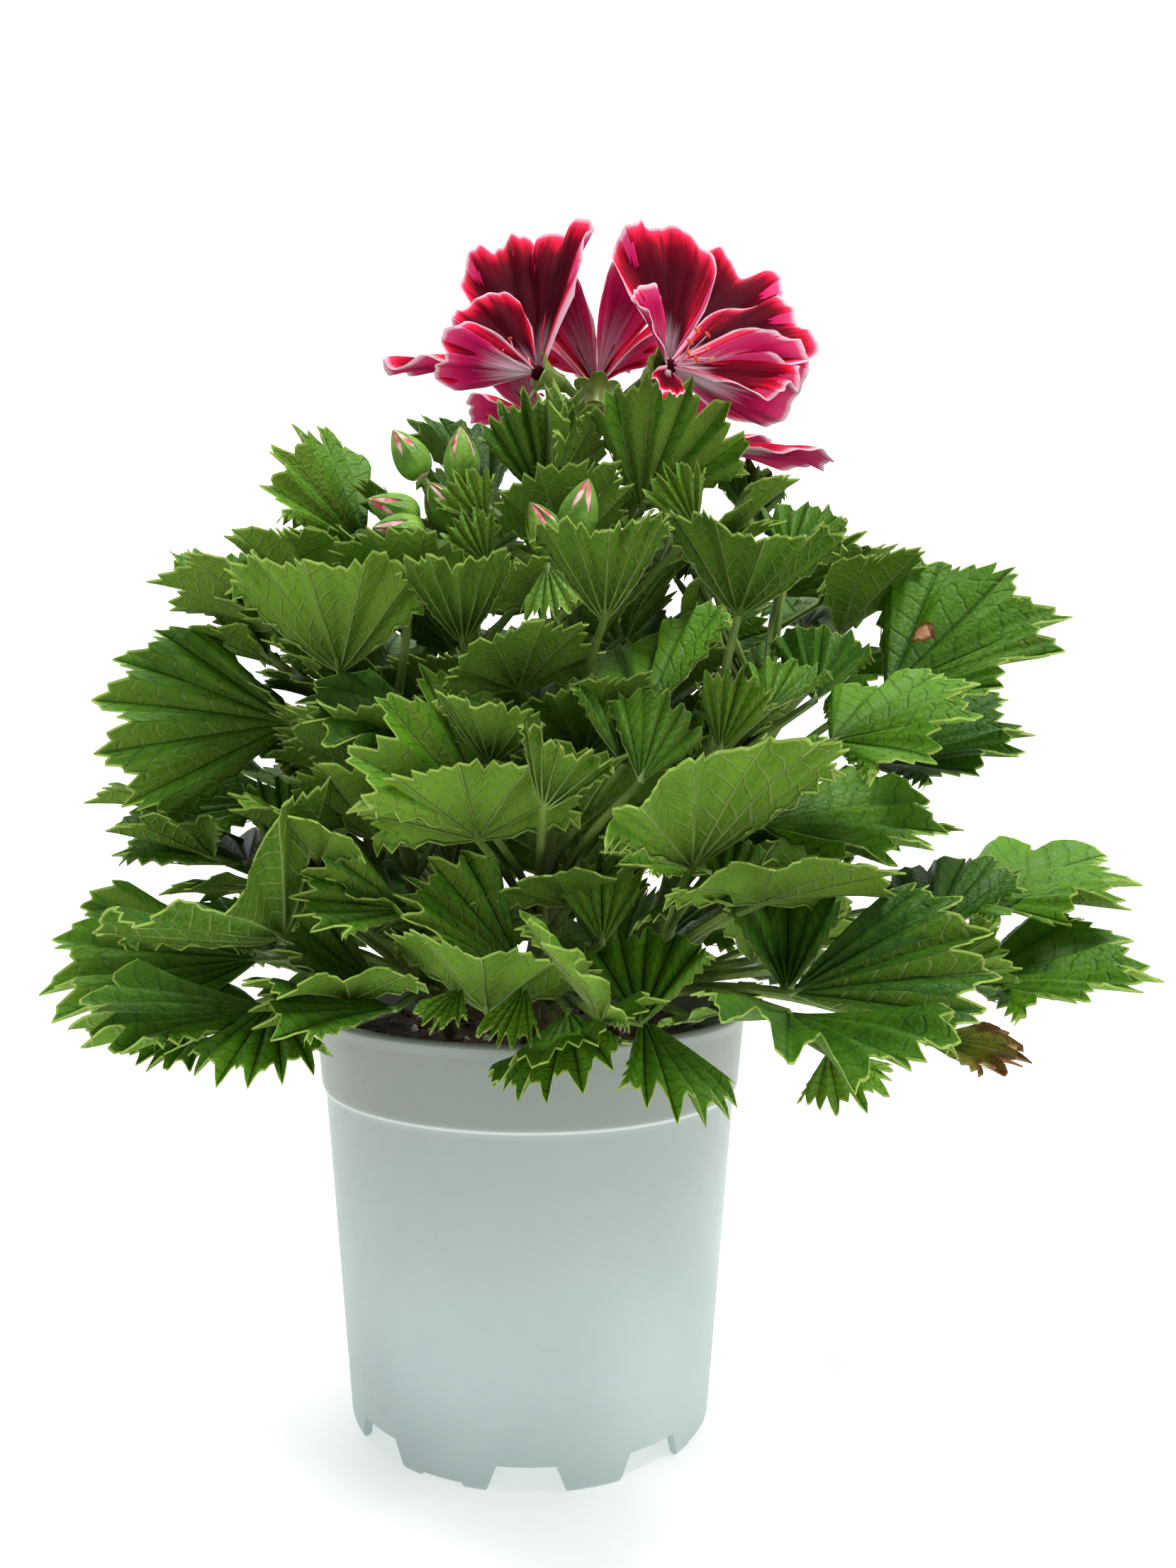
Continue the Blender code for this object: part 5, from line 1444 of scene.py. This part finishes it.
def eased(points, count):
    """A smooth curve with a given number of points through a few points."""
    spots = [points[0] * 2 - points[1]] + list(points) + [points[-1] * 2 - points[-2]]
    smooth_points = []
    spans = len(points) - 1
    for i in range(count):
        at = spans * i / (count - 1)
        k = min(int(at), spans - 1)
        u = at - k
        a, b, c, d = spots[k:k + 4]
        bend = a * 2 - b * 5 + c * 4 - d
        twist = b * 3 - a - c * 3 + d
        smooth_points.append((b * 2 + (c - a) * u + bend * u ** 2 + twist * u ** 3) / 2)
    return smooth_points


def radii_between(count, start, end):
    """Radii that change evenly from start to end."""
    return [start + (end - start) * i / (count - 1) for i in range(count)]


def stalk_rod(blade):
    """A leaf's stalk: the solid's line, rounded, and drawn out under the leaf's main vein."""
    points = stalk_points(blade)
    line = eased(points[:-1], STALK_LINE_STEPS)
    place = blade_frame(blade)
    for t in STALK_TAIL:
        line.append(place @ (fan_point(blade, t, 0) - UP * TAIL_DEPTH))
    return line, radii_between(STALK_LINE_STEPS, *STALK_RADII) + STALK_TAIL_RADII


def vein_rods(blade, cut):
    """The main veins that stand out of a leaf's underside."""
    place = blade_frame(blade)
    rods = []
    for k in (-3, -2, -1, 0, 1, 2, 3):
        s = k / 3 * (0.985 if abs(k) == 3 else 1)
        line = [place @ (leaf_point(blade, cut, t, s) - UP * VEIN_DEPTH) for t in VEIN_STEPS]
        rods.append((line, radii_between(len(line), *VEIN_RADII)))
    return rods


# Petals

PETAL_ROWS = 16
PETAL_COLUMNS = 60
PETAL_SHEET = 0.00032
# How far the sides swell, and how far the rim rolls back and is cut back, as shares of the petal
PETAL_BULGE = 0.20
PETAL_ROLL = 0.028
PETAL_CUT = 0.018
THROAT_SHARE = 0.55
# Petals that rise more than this are darker, and those that rise more than this are hardly pale at the foot
DARK_RISE = 8
PLAIN_RISE = 25
STAMEN_COUNT = 7
FILAMENT_RADII = (0.00022, 0.00013)
ANTHER_SHAPE = (0.00045, 0.00045, 0.00105)


def petal_point(blade, phases, t, s):
    """A finished petal's point: the solid's fan with rounder sides and a frilled rim that rolls back."""
    first, second, third = phases
    size = blade.size * MM
    kind = KINDS["petal"]
    near_rim = smooth(t, 0.62, 1.0)
    swing = 0.5 + 0.5 * ripple(0.7 * s + third)
    scallop = 0.016 * ripple(1.2 * s + first) + 0.009 * ripple(3.3 * s + second)
    scallop += 0.005 * swing * ripple(8.3 * s + third)
    bulge = 1 + PETAL_BULGE * math.sin(math.pi * t)
    point = fan_point(blade, t * (1 + (scallop - PETAL_CUT) * near_rim), s * bulge)
    frill = 0.036 * ripple(1.7 * s + second) + 0.018 * swing * ripple(4.6 * s + third)
    edge = max(near_rim, smooth(abs(s), 0.72, 1.0) * smooth(t, 0.25, 0.6))
    point.z += 0.65 * kind.wave * size * t * math.cos(math.pi * s * bulge * kind.waves)
    point.z += size * (frill * edge - PETAL_ROLL * smooth(t, 0.75, 1.05) ** 2)
    return point


def add_petal(bm, blade, phases, tone):
    """A finished petal in a bmesh."""
    made = bmesh.ops.create_grid(bm, x_segments=PETAL_COLUMNS, y_segments=PETAL_ROWS, size=1)
    laid_sheet(bm, made["verts"], lambda t, s: petal_point(blade, phases, t, s), blade, tone, PETAL_SHEET)


def make_petals(bloom, petals, draw):
    """A bloom's petals as one piece, meeting at its throat, the upper ones darker and less pale."""
    bm = blank_blades()
    for blade in petals:
        if blade.stem != bloom.name:
            continue
        dark = 1.0 if blade.rise > DARK_RISE else 0.75
        pale = 0.35 if blade.rise > PLAIN_RISE else 0.95
        tone = Vector((draw.random(), dark * draw.uniform(0.85, 1), pale))
        add_petal(bm, blade, [draw.random() for _ in range(3)], tone)
    own = bm.verts.layers.float_vector["tone"]
    throat = bmesh.ops.create_uvsphere(
        bm, u_segments=16, v_segments=10, radius=THROAT_RADIUS * THROAT_SHARE,
        matrix=Matrix.Translation(Vector(bloom.throat) * MM),
    )
    for v in throat["verts"]:
        v[own] = Vector((0.5, 1, 0))
    new_piece(bloom.name + "_petals", bm, ["petal_top", "petal_under"], [bloom.name], sharp=60)


def make_stamens(bloom, draw):
    """Thin curved filaments with orange anthers in a bloom's throat."""
    axes = bloom_axes(bloom.facing)
    rods = []
    tips = []
    for i in range(STAMEN_COUNT):
        angle = math.tau * (i + draw.uniform(-0.2, 0.2)) / STAMEN_COUNT
        spread = draw.uniform(0.15, 0.42)
        length = draw.uniform(9.5, 13.5) * MM
        start = Vector(bloom.throat) * MM
        way = axes @ tilted(spread, angle)
        bend = start + axes @ Vector((0, 0, length * 0.55))
        end = start + way * length
        line = [bowed(start, bend, end, u) for u in (0, 0.2, 0.4, 0.6, 0.8, 1)]
        rods.append((line, radii_between(len(line), *FILAMENT_RADII)))
        tips.append((end, way))
    dressed(bloom.name + "_filaments", rods_mesh(rods), ["filament"], [bloom.name])
    bm = bmesh.new()
    for end, way in tips:
        side = Quaternion(way, draw.uniform(0, math.tau)) @ way.orthogonal().normalized()
        place = Matrix.Translation(end) @ aimed(side) @ Matrix.Diagonal((*ANTHER_SHAPE, 1))
        bmesh.ops.create_uvsphere(bm, u_segments=8, v_segments=6, radius=1, matrix=place)
    new_piece(bloom.name + "_anthers", bm, ["anther"], [bloom.name])


# Calyxes and buds

SEPAL_WIDTH = 5.0 * MM
SEPAL_SHEET = 0.0004
BUD_SEPALS = 5
# The two sepals of a bud that leave the pink petals bare between them and their neighbours
OPEN_SEPALS = (0, 3)
BUD_SHEET = 0.0003


def add_sepal(bm, place, length, width, cup, flare):
    """One pointed sepal on a cup: it rises round the cup's side and bends outwards by its flare."""
    made = bmesh.ops.create_grid(bm, x_segments=6, y_segments=10, size=1)
    verts = made["verts"]
    faces = faces_round(verts)
    for v in verts:
        along = (v.co.y + 1) / 2
        half = width * (math.sin(math.pi * min(1.0, 0.28 + 0.72 * along)) ** 0.8) * v.co.x / 2
        lean = flare * along ** 1.6
        out = cup + length * (math.sin(lean) * 0.5 if flare else 0) * along
        rise = length * along * math.cos(lean * 0.6)
        angle = half / max(cup, 0.0005)
        v.co = around(out, angle, rise)
        v.co.x -= 0.0004 * (1 - abs(v.co.y) / width) * along
    bmesh.ops.transform(bm, verts=verts, matrix=place)
    bm.normal_update()
    bmesh.ops.solidify(bm, geom=faces, thickness=SEPAL_SHEET)


def make_calyxes(blooms, draw):
    """The green cups behind the blooms, with their sepals."""
    bm = bmesh.new()
    for bloom in blooms:
        place = calyx_place(bloom)
        cup = bmesh.ops.create_uvsphere(bm, u_segments=20, v_segments=12, radius=1)
        for v in cup["verts"]:
            ribs = 1 + 0.05 * math.cos(5 * math.atan2(v.co.y, v.co.x))
            width = (CALYX_RADIUS * (0.62 + 0.38 * v.co.z)) * ribs
            v.co = Vector((v.co.x * width, v.co.y * width, v.co.z * CALYX_LENGTH * 0.55))
        bmesh.ops.transform(bm, verts=cup["verts"], matrix=place)
        for i in range(PETAL_COUNT):
            turn = Matrix.Rotation(math.tau * (i + 0.5) / PETAL_COUNT, 4, "Z")
            base = Matrix.Translation((0, 0, CALYX_LENGTH * 0.05))
            add_sepal(
                bm, place @ turn @ base, draw.uniform(8.5, 10.5) * MM, SEPAL_WIDTH, CALYX_RADIUS * 0.8,
                draw.uniform(0.9, 1.5),
            )
    bmesh.ops.recalc_face_normals(bm, faces=bm.faces[:])
    new_piece("bloom_calyxes", bm, ["calyx"], ["flowering_stem"], sharp=60)


def bud_width(share):
    """A bud's radius from its round base to its pointed tip, as a share of the largest."""
    return 2.5 * max(0.0, share) ** 0.5 * max(0.0, 1 - share) ** 0.9


def add_bud_body(bm, place, swell, reach, top):
    """A bud's creased roll of petals or its green base, held under a height."""
    body = bmesh.ops.create_uvsphere(bm, u_segments=28, v_segments=16, radius=1)
    for v in body["verts"]:
        share = (v.co.z + 1) / 2
        angle = math.atan2(v.co.y, v.co.x)
        crinkle = 0.06 * math.cos(5 * angle + 3 * share) + 0.04 * math.cos(11 * angle + 9 * share)
        width = BUD_RADIUS * swell * bud_width(share) * (1 + crinkle)
        height = min(v.co.z * BUD_LENGTH / 2 * reach, top)
        v.co = around(width, angle, height)
    bmesh.ops.transform(bm, verts=body["verts"], matrix=place)


def add_bud_sepal(bm, place, index):
    """One ribbed green sepal that closes over a bud, with a slit beside it towards the tip."""
    made = bmesh.ops.create_grid(bm, x_segments=8, y_segments=14, size=1)
    faces = faces_round(made["verts"])
    gap = 0.85 if index in OPEN_SEPALS else 0.15
    for v in made["verts"]:
        share = (v.co.y + 1) / 2
        open_by = gap * smooth(share, 0.30, 0.80)
        half = math.radians(39) * (1 - open_by) * (1 - smooth(share, 0.80, 1.05) * 0.75)
        angle = math.tau * index / BUD_SEPALS + half * v.co.x
        level = -1 + 2 * share
        width = BUD_RADIUS * bud_width(share) + 0.00025
        out = width * (1 + 0.10 * (1 - abs(v.co.x)) + 0.03 * math.cos(3 * math.pi * v.co.x))
        v.co = around(out, angle, level * BUD_LENGTH / 2 * 0.985)
    bmesh.ops.transform(bm, verts=made["verts"], matrix=place)
    bm.normal_update()
    bmesh.ops.solidify(bm, geom=faces, thickness=BUD_SHEET)


def make_buds(bunch, draw):
    """A bunch of buds: five green sepals closed round a roll of pink petals, open at slits near the tip."""
    green = bmesh.new()
    pink = bmesh.new()
    hairs = []
    rods = []
    for tip in bunch.tips:
        place = bud_place(bunch.head, tip)
        add_bud_body(pink, place, 0.95, 1.0, BUD_LENGTH)
        add_bud_body(green, place, 0.82, 0.90, BUD_LENGTH * 0.05)
        for index in range(BUD_SEPALS):
            add_bud_sepal(green, place, index)
        line = eased(bud_stalk(bunch.head, tip), BUD_STALK_STEPS)
        rods.append((line, radii_between(BUD_STALK_STEPS, *BUD_STALK_RADII)))
        hairs.append(rod_hairs(line, *BUD_STALK_HAIRS, draw))
        axis = place.to_3x3() @ UP
        middle = place.translation
        core = [middle - axis * BUD_LENGTH * 0.36, middle, middle + axis * BUD_LENGTH * 0.34]
        hairs.append(rod_hairs(core, *BUD_HAIRS, draw))
    bmesh.ops.recalc_face_normals(green, faces=green.faces[:])
    new_piece(bunch.stem + "_buds", green, ["bud"], [bunch.stem], sharp=60)
    new_piece(bunch.stem + "_bud_petals", pink, ["bud_petal"], [bunch.stem])
    dressed(bunch.stem + "_bud_stalks", rods_mesh(rods), ["stalk"], [bunch.stem])
    hair_piece(bunch.stem + "_bud_hairs", hairs, [bunch.stem], draw)


# Stems with their leaves

# The sizes under which a leaf looks young and half young, the one old leaf's stem, and the height under which
# and size over which it is found there, and the share of the others that look a little old
YOUNG_SIZE = 20
HALF_YOUNG_SIZE = 28
OLD_LEAF = ("stem_right", 118, 25)
WORN_SHARE = 0.10
# A stem is knobbly but for these last points, and it has hairs from this point on
EVEN_STEPS = 6
BARE_STEPS = 16
KNOB_SWELL = 0.10
KNOB_PITCH = 1.9


def leaf_tone(blade, draw):
    """How light, how old and how young a leaf is."""
    light = draw.uniform(0.25, 0.85)
    youth = 0.55 if blade.size < YOUNG_SIZE else 0.25 if blade.size < HALF_YOUNG_SIZE else 0.0
    stem, top, size = OLD_LEAF
    age = 0.0
    if blade.kind == "leaf" and blade.stem == stem and blade.z < top and blade.size > size:
        age = 0.85
    elif draw.random() < WORN_SHARE:
        age = 0.45
    return Vector((light, age, youth))


def make_stem(name, leaves, draw):
    """A stem's finished leaves, its stalks and itself, and the hairs on them."""
    bm = blank_blades()
    stalks = []
    ribs = []
    hairs = []
    for blade in leaves:
        if blade.stem != name:
            continue
        cut = leaf_cut(blade, draw)
        add_leaf(bm, blade, cut, leaf_tone(blade, draw))
        line, radii = stalk_rod(blade)
        stalks.append((line, radii))
        ribs += vein_rods(blade, cut)
        surface = partial(leaf_point, blade, cut)
        hairs.append(rim_hairs(blade, surface, draw, TOOTH_HAIRS * cut.fine, SIDE_HAIRS))
        hairs.append(rod_hairs(line[:-2], *STALK_HAIRS, draw))
    new_piece(name + "_leaves", bm, ["leaf_top", "leaf_under"], [name], sharp=60)
    dressed(name + "_stalks", rods_mesh(stalks), ["stalk"], [name])
    dressed(name + "_veins", rods_mesh(ribs, 0), ["stalk"], [name])
    path = eased(stem_points(name), STEM_STEPS)
    radii = radii_between(STEM_STEPS, STEM_RADIUS * 0.95, STEM_TIP_RADIUS)
    for i in range(STEM_STEPS - EVEN_STEPS):
        radii[i] *= 1 + KNOB_SWELL * math.sin(i * KNOB_PITCH)
    dressed(name + "_wood", rods_mesh([(path, radii)], 3), ["stem"], [name])
    hairs.append(rod_hairs(path[BARE_STEPS:], *STEM_HAIRS, draw))
    hair_piece(name + "_hairs", hairs, [name], draw)


# Pot and soil


def spun(points, sides):
    """A bmesh of a section turned round the pot's axis."""
    bm = bmesh.new()
    spots = [bm.verts.new((r, 0, z)) for r, z in points]
    edges = [bm.edges.new(pair) for pair in zip(spots, spots[1:])]
    bmesh.ops.spin(
        bm, geom=spots + edges, axis=(0, 0, 1), cent=(0, 0, 0), angle=math.tau, steps=sides, use_merge=True
    )
    bmesh.ops.remove_doubles(bm, verts=bm.verts[:], dist=1e-6)
    bmesh.ops.recalc_face_normals(bm, faces=bm.faces[:])
    return bm


def rounded(points, radius, steps=4):
    """A section with its corners rounded."""
    made = [points[0]]
    for before, corner, after in zip(points, points[1:], points[2:]):
        corner_point = Vector(corner)
        start = Vector(before) - corner_point
        end = Vector(after) - corner_point
        cut = min(radius, start.length * 0.45, end.length * 0.45)
        start = corner_point + start.normalized() * cut
        end = corner_point + end.normalized() * cut
        for i in range(steps + 1):
            u = i / steps
            made.append(tuple(bowed(start, corner_point, end, u)))
    made.append(points[-1])
    return made


def pot_profile():
    """The pot's section, from the floor's middle up the inside, over the rim and down to the foot."""
    collar_foot = POT_HEIGHT - COLLAR_DROP
    floor_top = FLOOR_UNDERSIDE + FLOOR_THICKNESS
    inner_rim = RIM_RADIUS - RIM_LIP
    step = 0.0012
    return [
        (0, floor_top),
        (BODY_FOOT_RADIUS - FOOT_WALL, floor_top),
        (BODY_TOP_RADIUS - POT_WALL, collar_foot - 2 * step),
        (COLLAR_FOOT_RADIUS - POT_WALL, collar_foot),
        (RIM_RADIUS - POT_WALL - 0.0009, POT_HEIGHT - 0.0042),
        (inner_rim, POT_HEIGHT - 0.0012),
        (inner_rim + 0.0007, POT_HEIGHT),
        (RIM_RADIUS - 0.0008, POT_HEIGHT),
        (RIM_RADIUS, POT_HEIGHT - 0.0010),
        (RIM_RADIUS - 0.0007, POT_HEIGHT - 0.0034),
        (COLLAR_FOOT_RADIUS, collar_foot + step),
        (BODY_TOP_RADIUS, collar_foot - step),
        (BODY_FOOT_RADIUS + 0.0002, 0.0012),
        (BODY_FOOT_RADIUS - 0.0005, 0),
        (BODY_FOOT_RADIUS - FOOT_WALL - 0.0004, 0),
        (BODY_FOOT_RADIUS - FOOT_WALL, FLOOR_UNDERSIDE),
        (0, FLOOR_UNDERSIDE),
    ]


def add_notch(bm, angle, top, foot, height):
    """A wedge that cuts one notch out of the foot, wider at the bottom."""
    reach = 0.022
    below = 0.004
    made = bmesh.ops.create_cube(bm, size=1)
    for v in made["verts"]:
        upper = v.co.z > 0
        v.co.x *= top if upper else foot + (foot - top) * below / height
        v.co.y *= reach
        v.co.z = height if upper else -below
    place = Matrix.Translation(direction(angle, 0) * BODY_FOOT_RADIUS)
    bmesh.ops.transform(bm, verts=made["verts"], matrix=place @ Matrix.Rotation(math.radians(angle), 4, "Z"))


def make_pot():
    """The pot, turned and then cut by its notches and drain holes."""
    cutter = bmesh.new()
    for quarter in range(FOOT_REPEATS):
        start = quarter * 360 / FOOT_REPEATS
        for angle in DEEP_NOTCH_ANGLES:
            add_notch(cutter, start + angle, DEEP_NOTCH_TOP, DEEP_NOTCH_FOOT, DEEP_NOTCH_HEIGHT)
        add_notch(
            cutter, start + SHALLOW_NOTCH_ANGLE, SHALLOW_NOTCH_WIDTH, SHALLOW_NOTCH_WIDTH * 1.1,
            SHALLOW_NOTCH_HEIGHT,
        )
    for i in range(DRAIN_COUNT):
        place = direction((i + 0.5) * 360 / DRAIN_COUNT, 0) * DRAIN_CIRCLE + UP * FLOOR_UNDERSIDE
        bmesh.ops.create_cone(
            cutter, cap_ends=True, segments=32, radius1=DRAIN_RADIUS, radius2=DRAIN_RADIUS, depth=0.01,
            matrix=Matrix.Translation(place),
        )
    meshes = []
    for name, bm in (("pot_turned", spun(rounded(pot_profile(), 0.0009), POT_SIDES)), ("pot_cutter", cutter)):
        meshes.append(bpy.data.objects.new(name, baked(name, bm)))
        bpy.context.scene.collection.objects.link(meshes[-1])
    turned, cutting = meshes
    cut = turned.modifiers.new("cut", "BOOLEAN")
    cut.operation = "DIFFERENCE"
    cut.object = cutting
    bpy.context.view_layer.update()
    whole = bpy.data.meshes.new_from_object(turned.evaluated_get(bpy.context.evaluated_depsgraph_get()))
    for spent in meshes:
        bpy.data.objects.remove(spent)
    dressed("pot_shell", whole, ["pot_plastic"], ["pot"], sharp=35)


def make_soil(draw):
    """The crumbly fill, with loose crumbs of bark and a little white grit on it."""
    floor_top = FLOOR_UNDERSIDE + FLOOR_THICKNESS + GAP
    collar_foot = POT_HEIGHT - COLLAR_DROP
    inner_foot = BODY_FOOT_RADIUS - FOOT_WALL - 2 * GAP
    inner_top = BODY_TOP_RADIUS - POT_WALL - 2 * GAP
    edge = COLLAR_FOOT_RADIUS - POT_WALL - 2 * GAP
    surface = []
    for i in range(SOIL_RINGS + 1):
        surface.append((edge * i / SOIL_RINGS, SOIL_TOP - SOIL_DISH * (i / SOIL_RINGS) ** 3))
    below = [(edge, collar_foot), (inner_top, collar_foot - 0.003), (inner_foot, floor_top), (0, floor_top)]
    bm = spun(surface + below, SOIL_SIDES)
    for v in bm.verts:
        if v.co.z > SOIL_TOP - 0.004 and math.hypot(v.co.x, v.co.y) < edge - 0.002:
            v.co.z += soil_bump(v.co.x, v.co.y)
    new_piece("soil_fill", bm, ["soil"], ["soil"])
    crumbs = bmesh.new()
    own = crumbs.verts.layers.float_vector.new("tone")
    for _ in range(CRUMB_COUNT):
        radius = (edge - 0.003) * math.sqrt(draw.random())
        angle = draw.uniform(0, math.tau)
        x, y = radius * math.cos(angle), radius * math.sin(angle)
        size = draw.uniform(0.5, 1.9) * MM
        z = SOIL_TOP - SOIL_DISH * (radius / edge) ** 3 + soil_bump(x, y) + size * 0.2
        turn = Quaternion(scattered(draw), draw.uniform(0, 3))
        shape = Matrix.Diagonal((size, size * draw.uniform(0.5, 0.9), size * draw.uniform(0.35, 0.7), 1))
        made = bmesh.ops.create_icosphere(
            crumbs, subdivisions=1, radius=1,
            matrix=Matrix.Translation((x, y, z)) @ turn.to_matrix().to_4x4() @ shape,
        )
        tone = Vector((draw.random(), 0, 0))
        for v in made["verts"]:
            v.co += scattered(draw) * size * 0.16
            v[own] = tone
    new_piece("soil_crumbs", crumbs, ["crumb"], ["soil"], sharp=20)


def soil_bump(x, y):
    """How far the soil's surface rises above its even shape."""
    broad = SOIL_BUMP * math.sin(x * 310 + 1) * math.cos(y * 270 + x * 90)
    fine = 0.0005 * math.sin(x * 1300 + 2) * math.cos(y * 1150)
    return broad + fine + 0.0003 * math.sin(x * 2500 + y * 2100)


# Studio


def make_studio():
    """A pale floor and a bright backdrop, soft lights and the photograph's camera."""
    backdrop = Matrix.Translation((0, BACKDROP_AWAY, 0)) @ Matrix.Rotation(math.pi / 2, 4, "X")
    for name, radius, place in (("floor", FLOOR_REACH, Matrix()), ("backdrop", BACKDROP_REACH, backdrop)):
        disc = bmesh.new()
        bmesh.ops.create_circle(disc, cap_ends=True, segments=64, radius=radius)
        bmesh.ops.transform(disc, verts=disc.verts[:], matrix=place)
        mesh = baked(name, disc)
        mesh.materials.append(FINISHES[name])
        made = bpy.data.objects.new(name, mesh)
        bpy.context.scene.collection.objects.link(made)
    bpy.context.scene.view_settings.view_transform = "Standard"
    world = bpy.data.worlds.new("studio")
    bpy.context.scene.world = world
    world.use_nodes = True
    sky = world.node_tree.nodes["Background"]
    sky.inputs["Color"].default_value = (1, 1, 1, 1)
    sky.inputs["Strength"].default_value = SKY_STRENGTH
    for name, place, size, power in LIGHTS:
        light = bpy.data.lights.new(name, "AREA")
        light.size = size
        light.energy = power
        lamp = bpy.data.objects.new(name, light)
        bpy.context.scene.collection.objects.link(lamp)
        lamp.location = place
        lamp.rotation_euler = (Vector(LIGHTS_AIM) - Vector(place)).to_track_quat("-Z", "Y").to_euler()
    camera = bpy.data.cameras.new("camera")
    camera.sensor_fit = "VERTICAL"
    camera.sensor_height = SENSOR_HEIGHT
    camera.lens = FOCAL_PIXELS / FRAME_HEIGHT * SENSOR_HEIGHT
    camera.shift_x = (FRAME_WIDTH / 2 - AXIS_PIXEL) / FRAME_HEIGHT
    camera.clip_start = 0.01
    stand = bpy.data.objects.new("camera", camera)
    bpy.context.scene.collection.objects.link(stand)
    stand.location = POT_AXIS + Vector(CAMERA_PLACE)
    stand.rotation_euler = (math.pi / 2 - CAMERA_DROP, 0, 0)
    bpy.context.scene.camera = stand


def main():
    """The studio, then the pot, the soil, each stem, each bloom and the buds."""
    draw = random.Random(DRAW_SEED)
    make_studio()
    petals = all_petals([])
    petal_trees = [blade_probe(blade) for blade in petals]
    leaves = placed_leaves([solid_tree("pot"), solid_tree("soil")] + green_trees() + petal_trees)
    make_pot()
    make_soil(draw)
    for name in STEMS:
        make_stem(name, leaves, draw)
    for bloom in BLOOMS + RULE_BLOOMS:
        make_petals(bloom, petals, draw)
        make_stamens(bloom, draw)
    make_calyxes(BLOOMS + RULE_BLOOMS, draw)
    pedicels = []
    for bloom in BLOOMS + RULE_BLOOMS:
        line = eased(pedicel_points(bloom), PEDICEL_STEPS)
        pedicels.append((line, radii_between(PEDICEL_STEPS, *PEDICEL_RADII)))
    dressed("pedicels", rods_mesh(pedicels, 2), ["stalk"], ["flowering_stem"])
    hairs = [rod_hairs(points, *PEDICEL_HAIRS, draw) for points, _ in pedicels]
    hair_piece("pedicel_hairs", hairs, ["flowering_stem"], draw)
    for bunch in BUNCHES:
        make_buds(bunch, draw)


main()
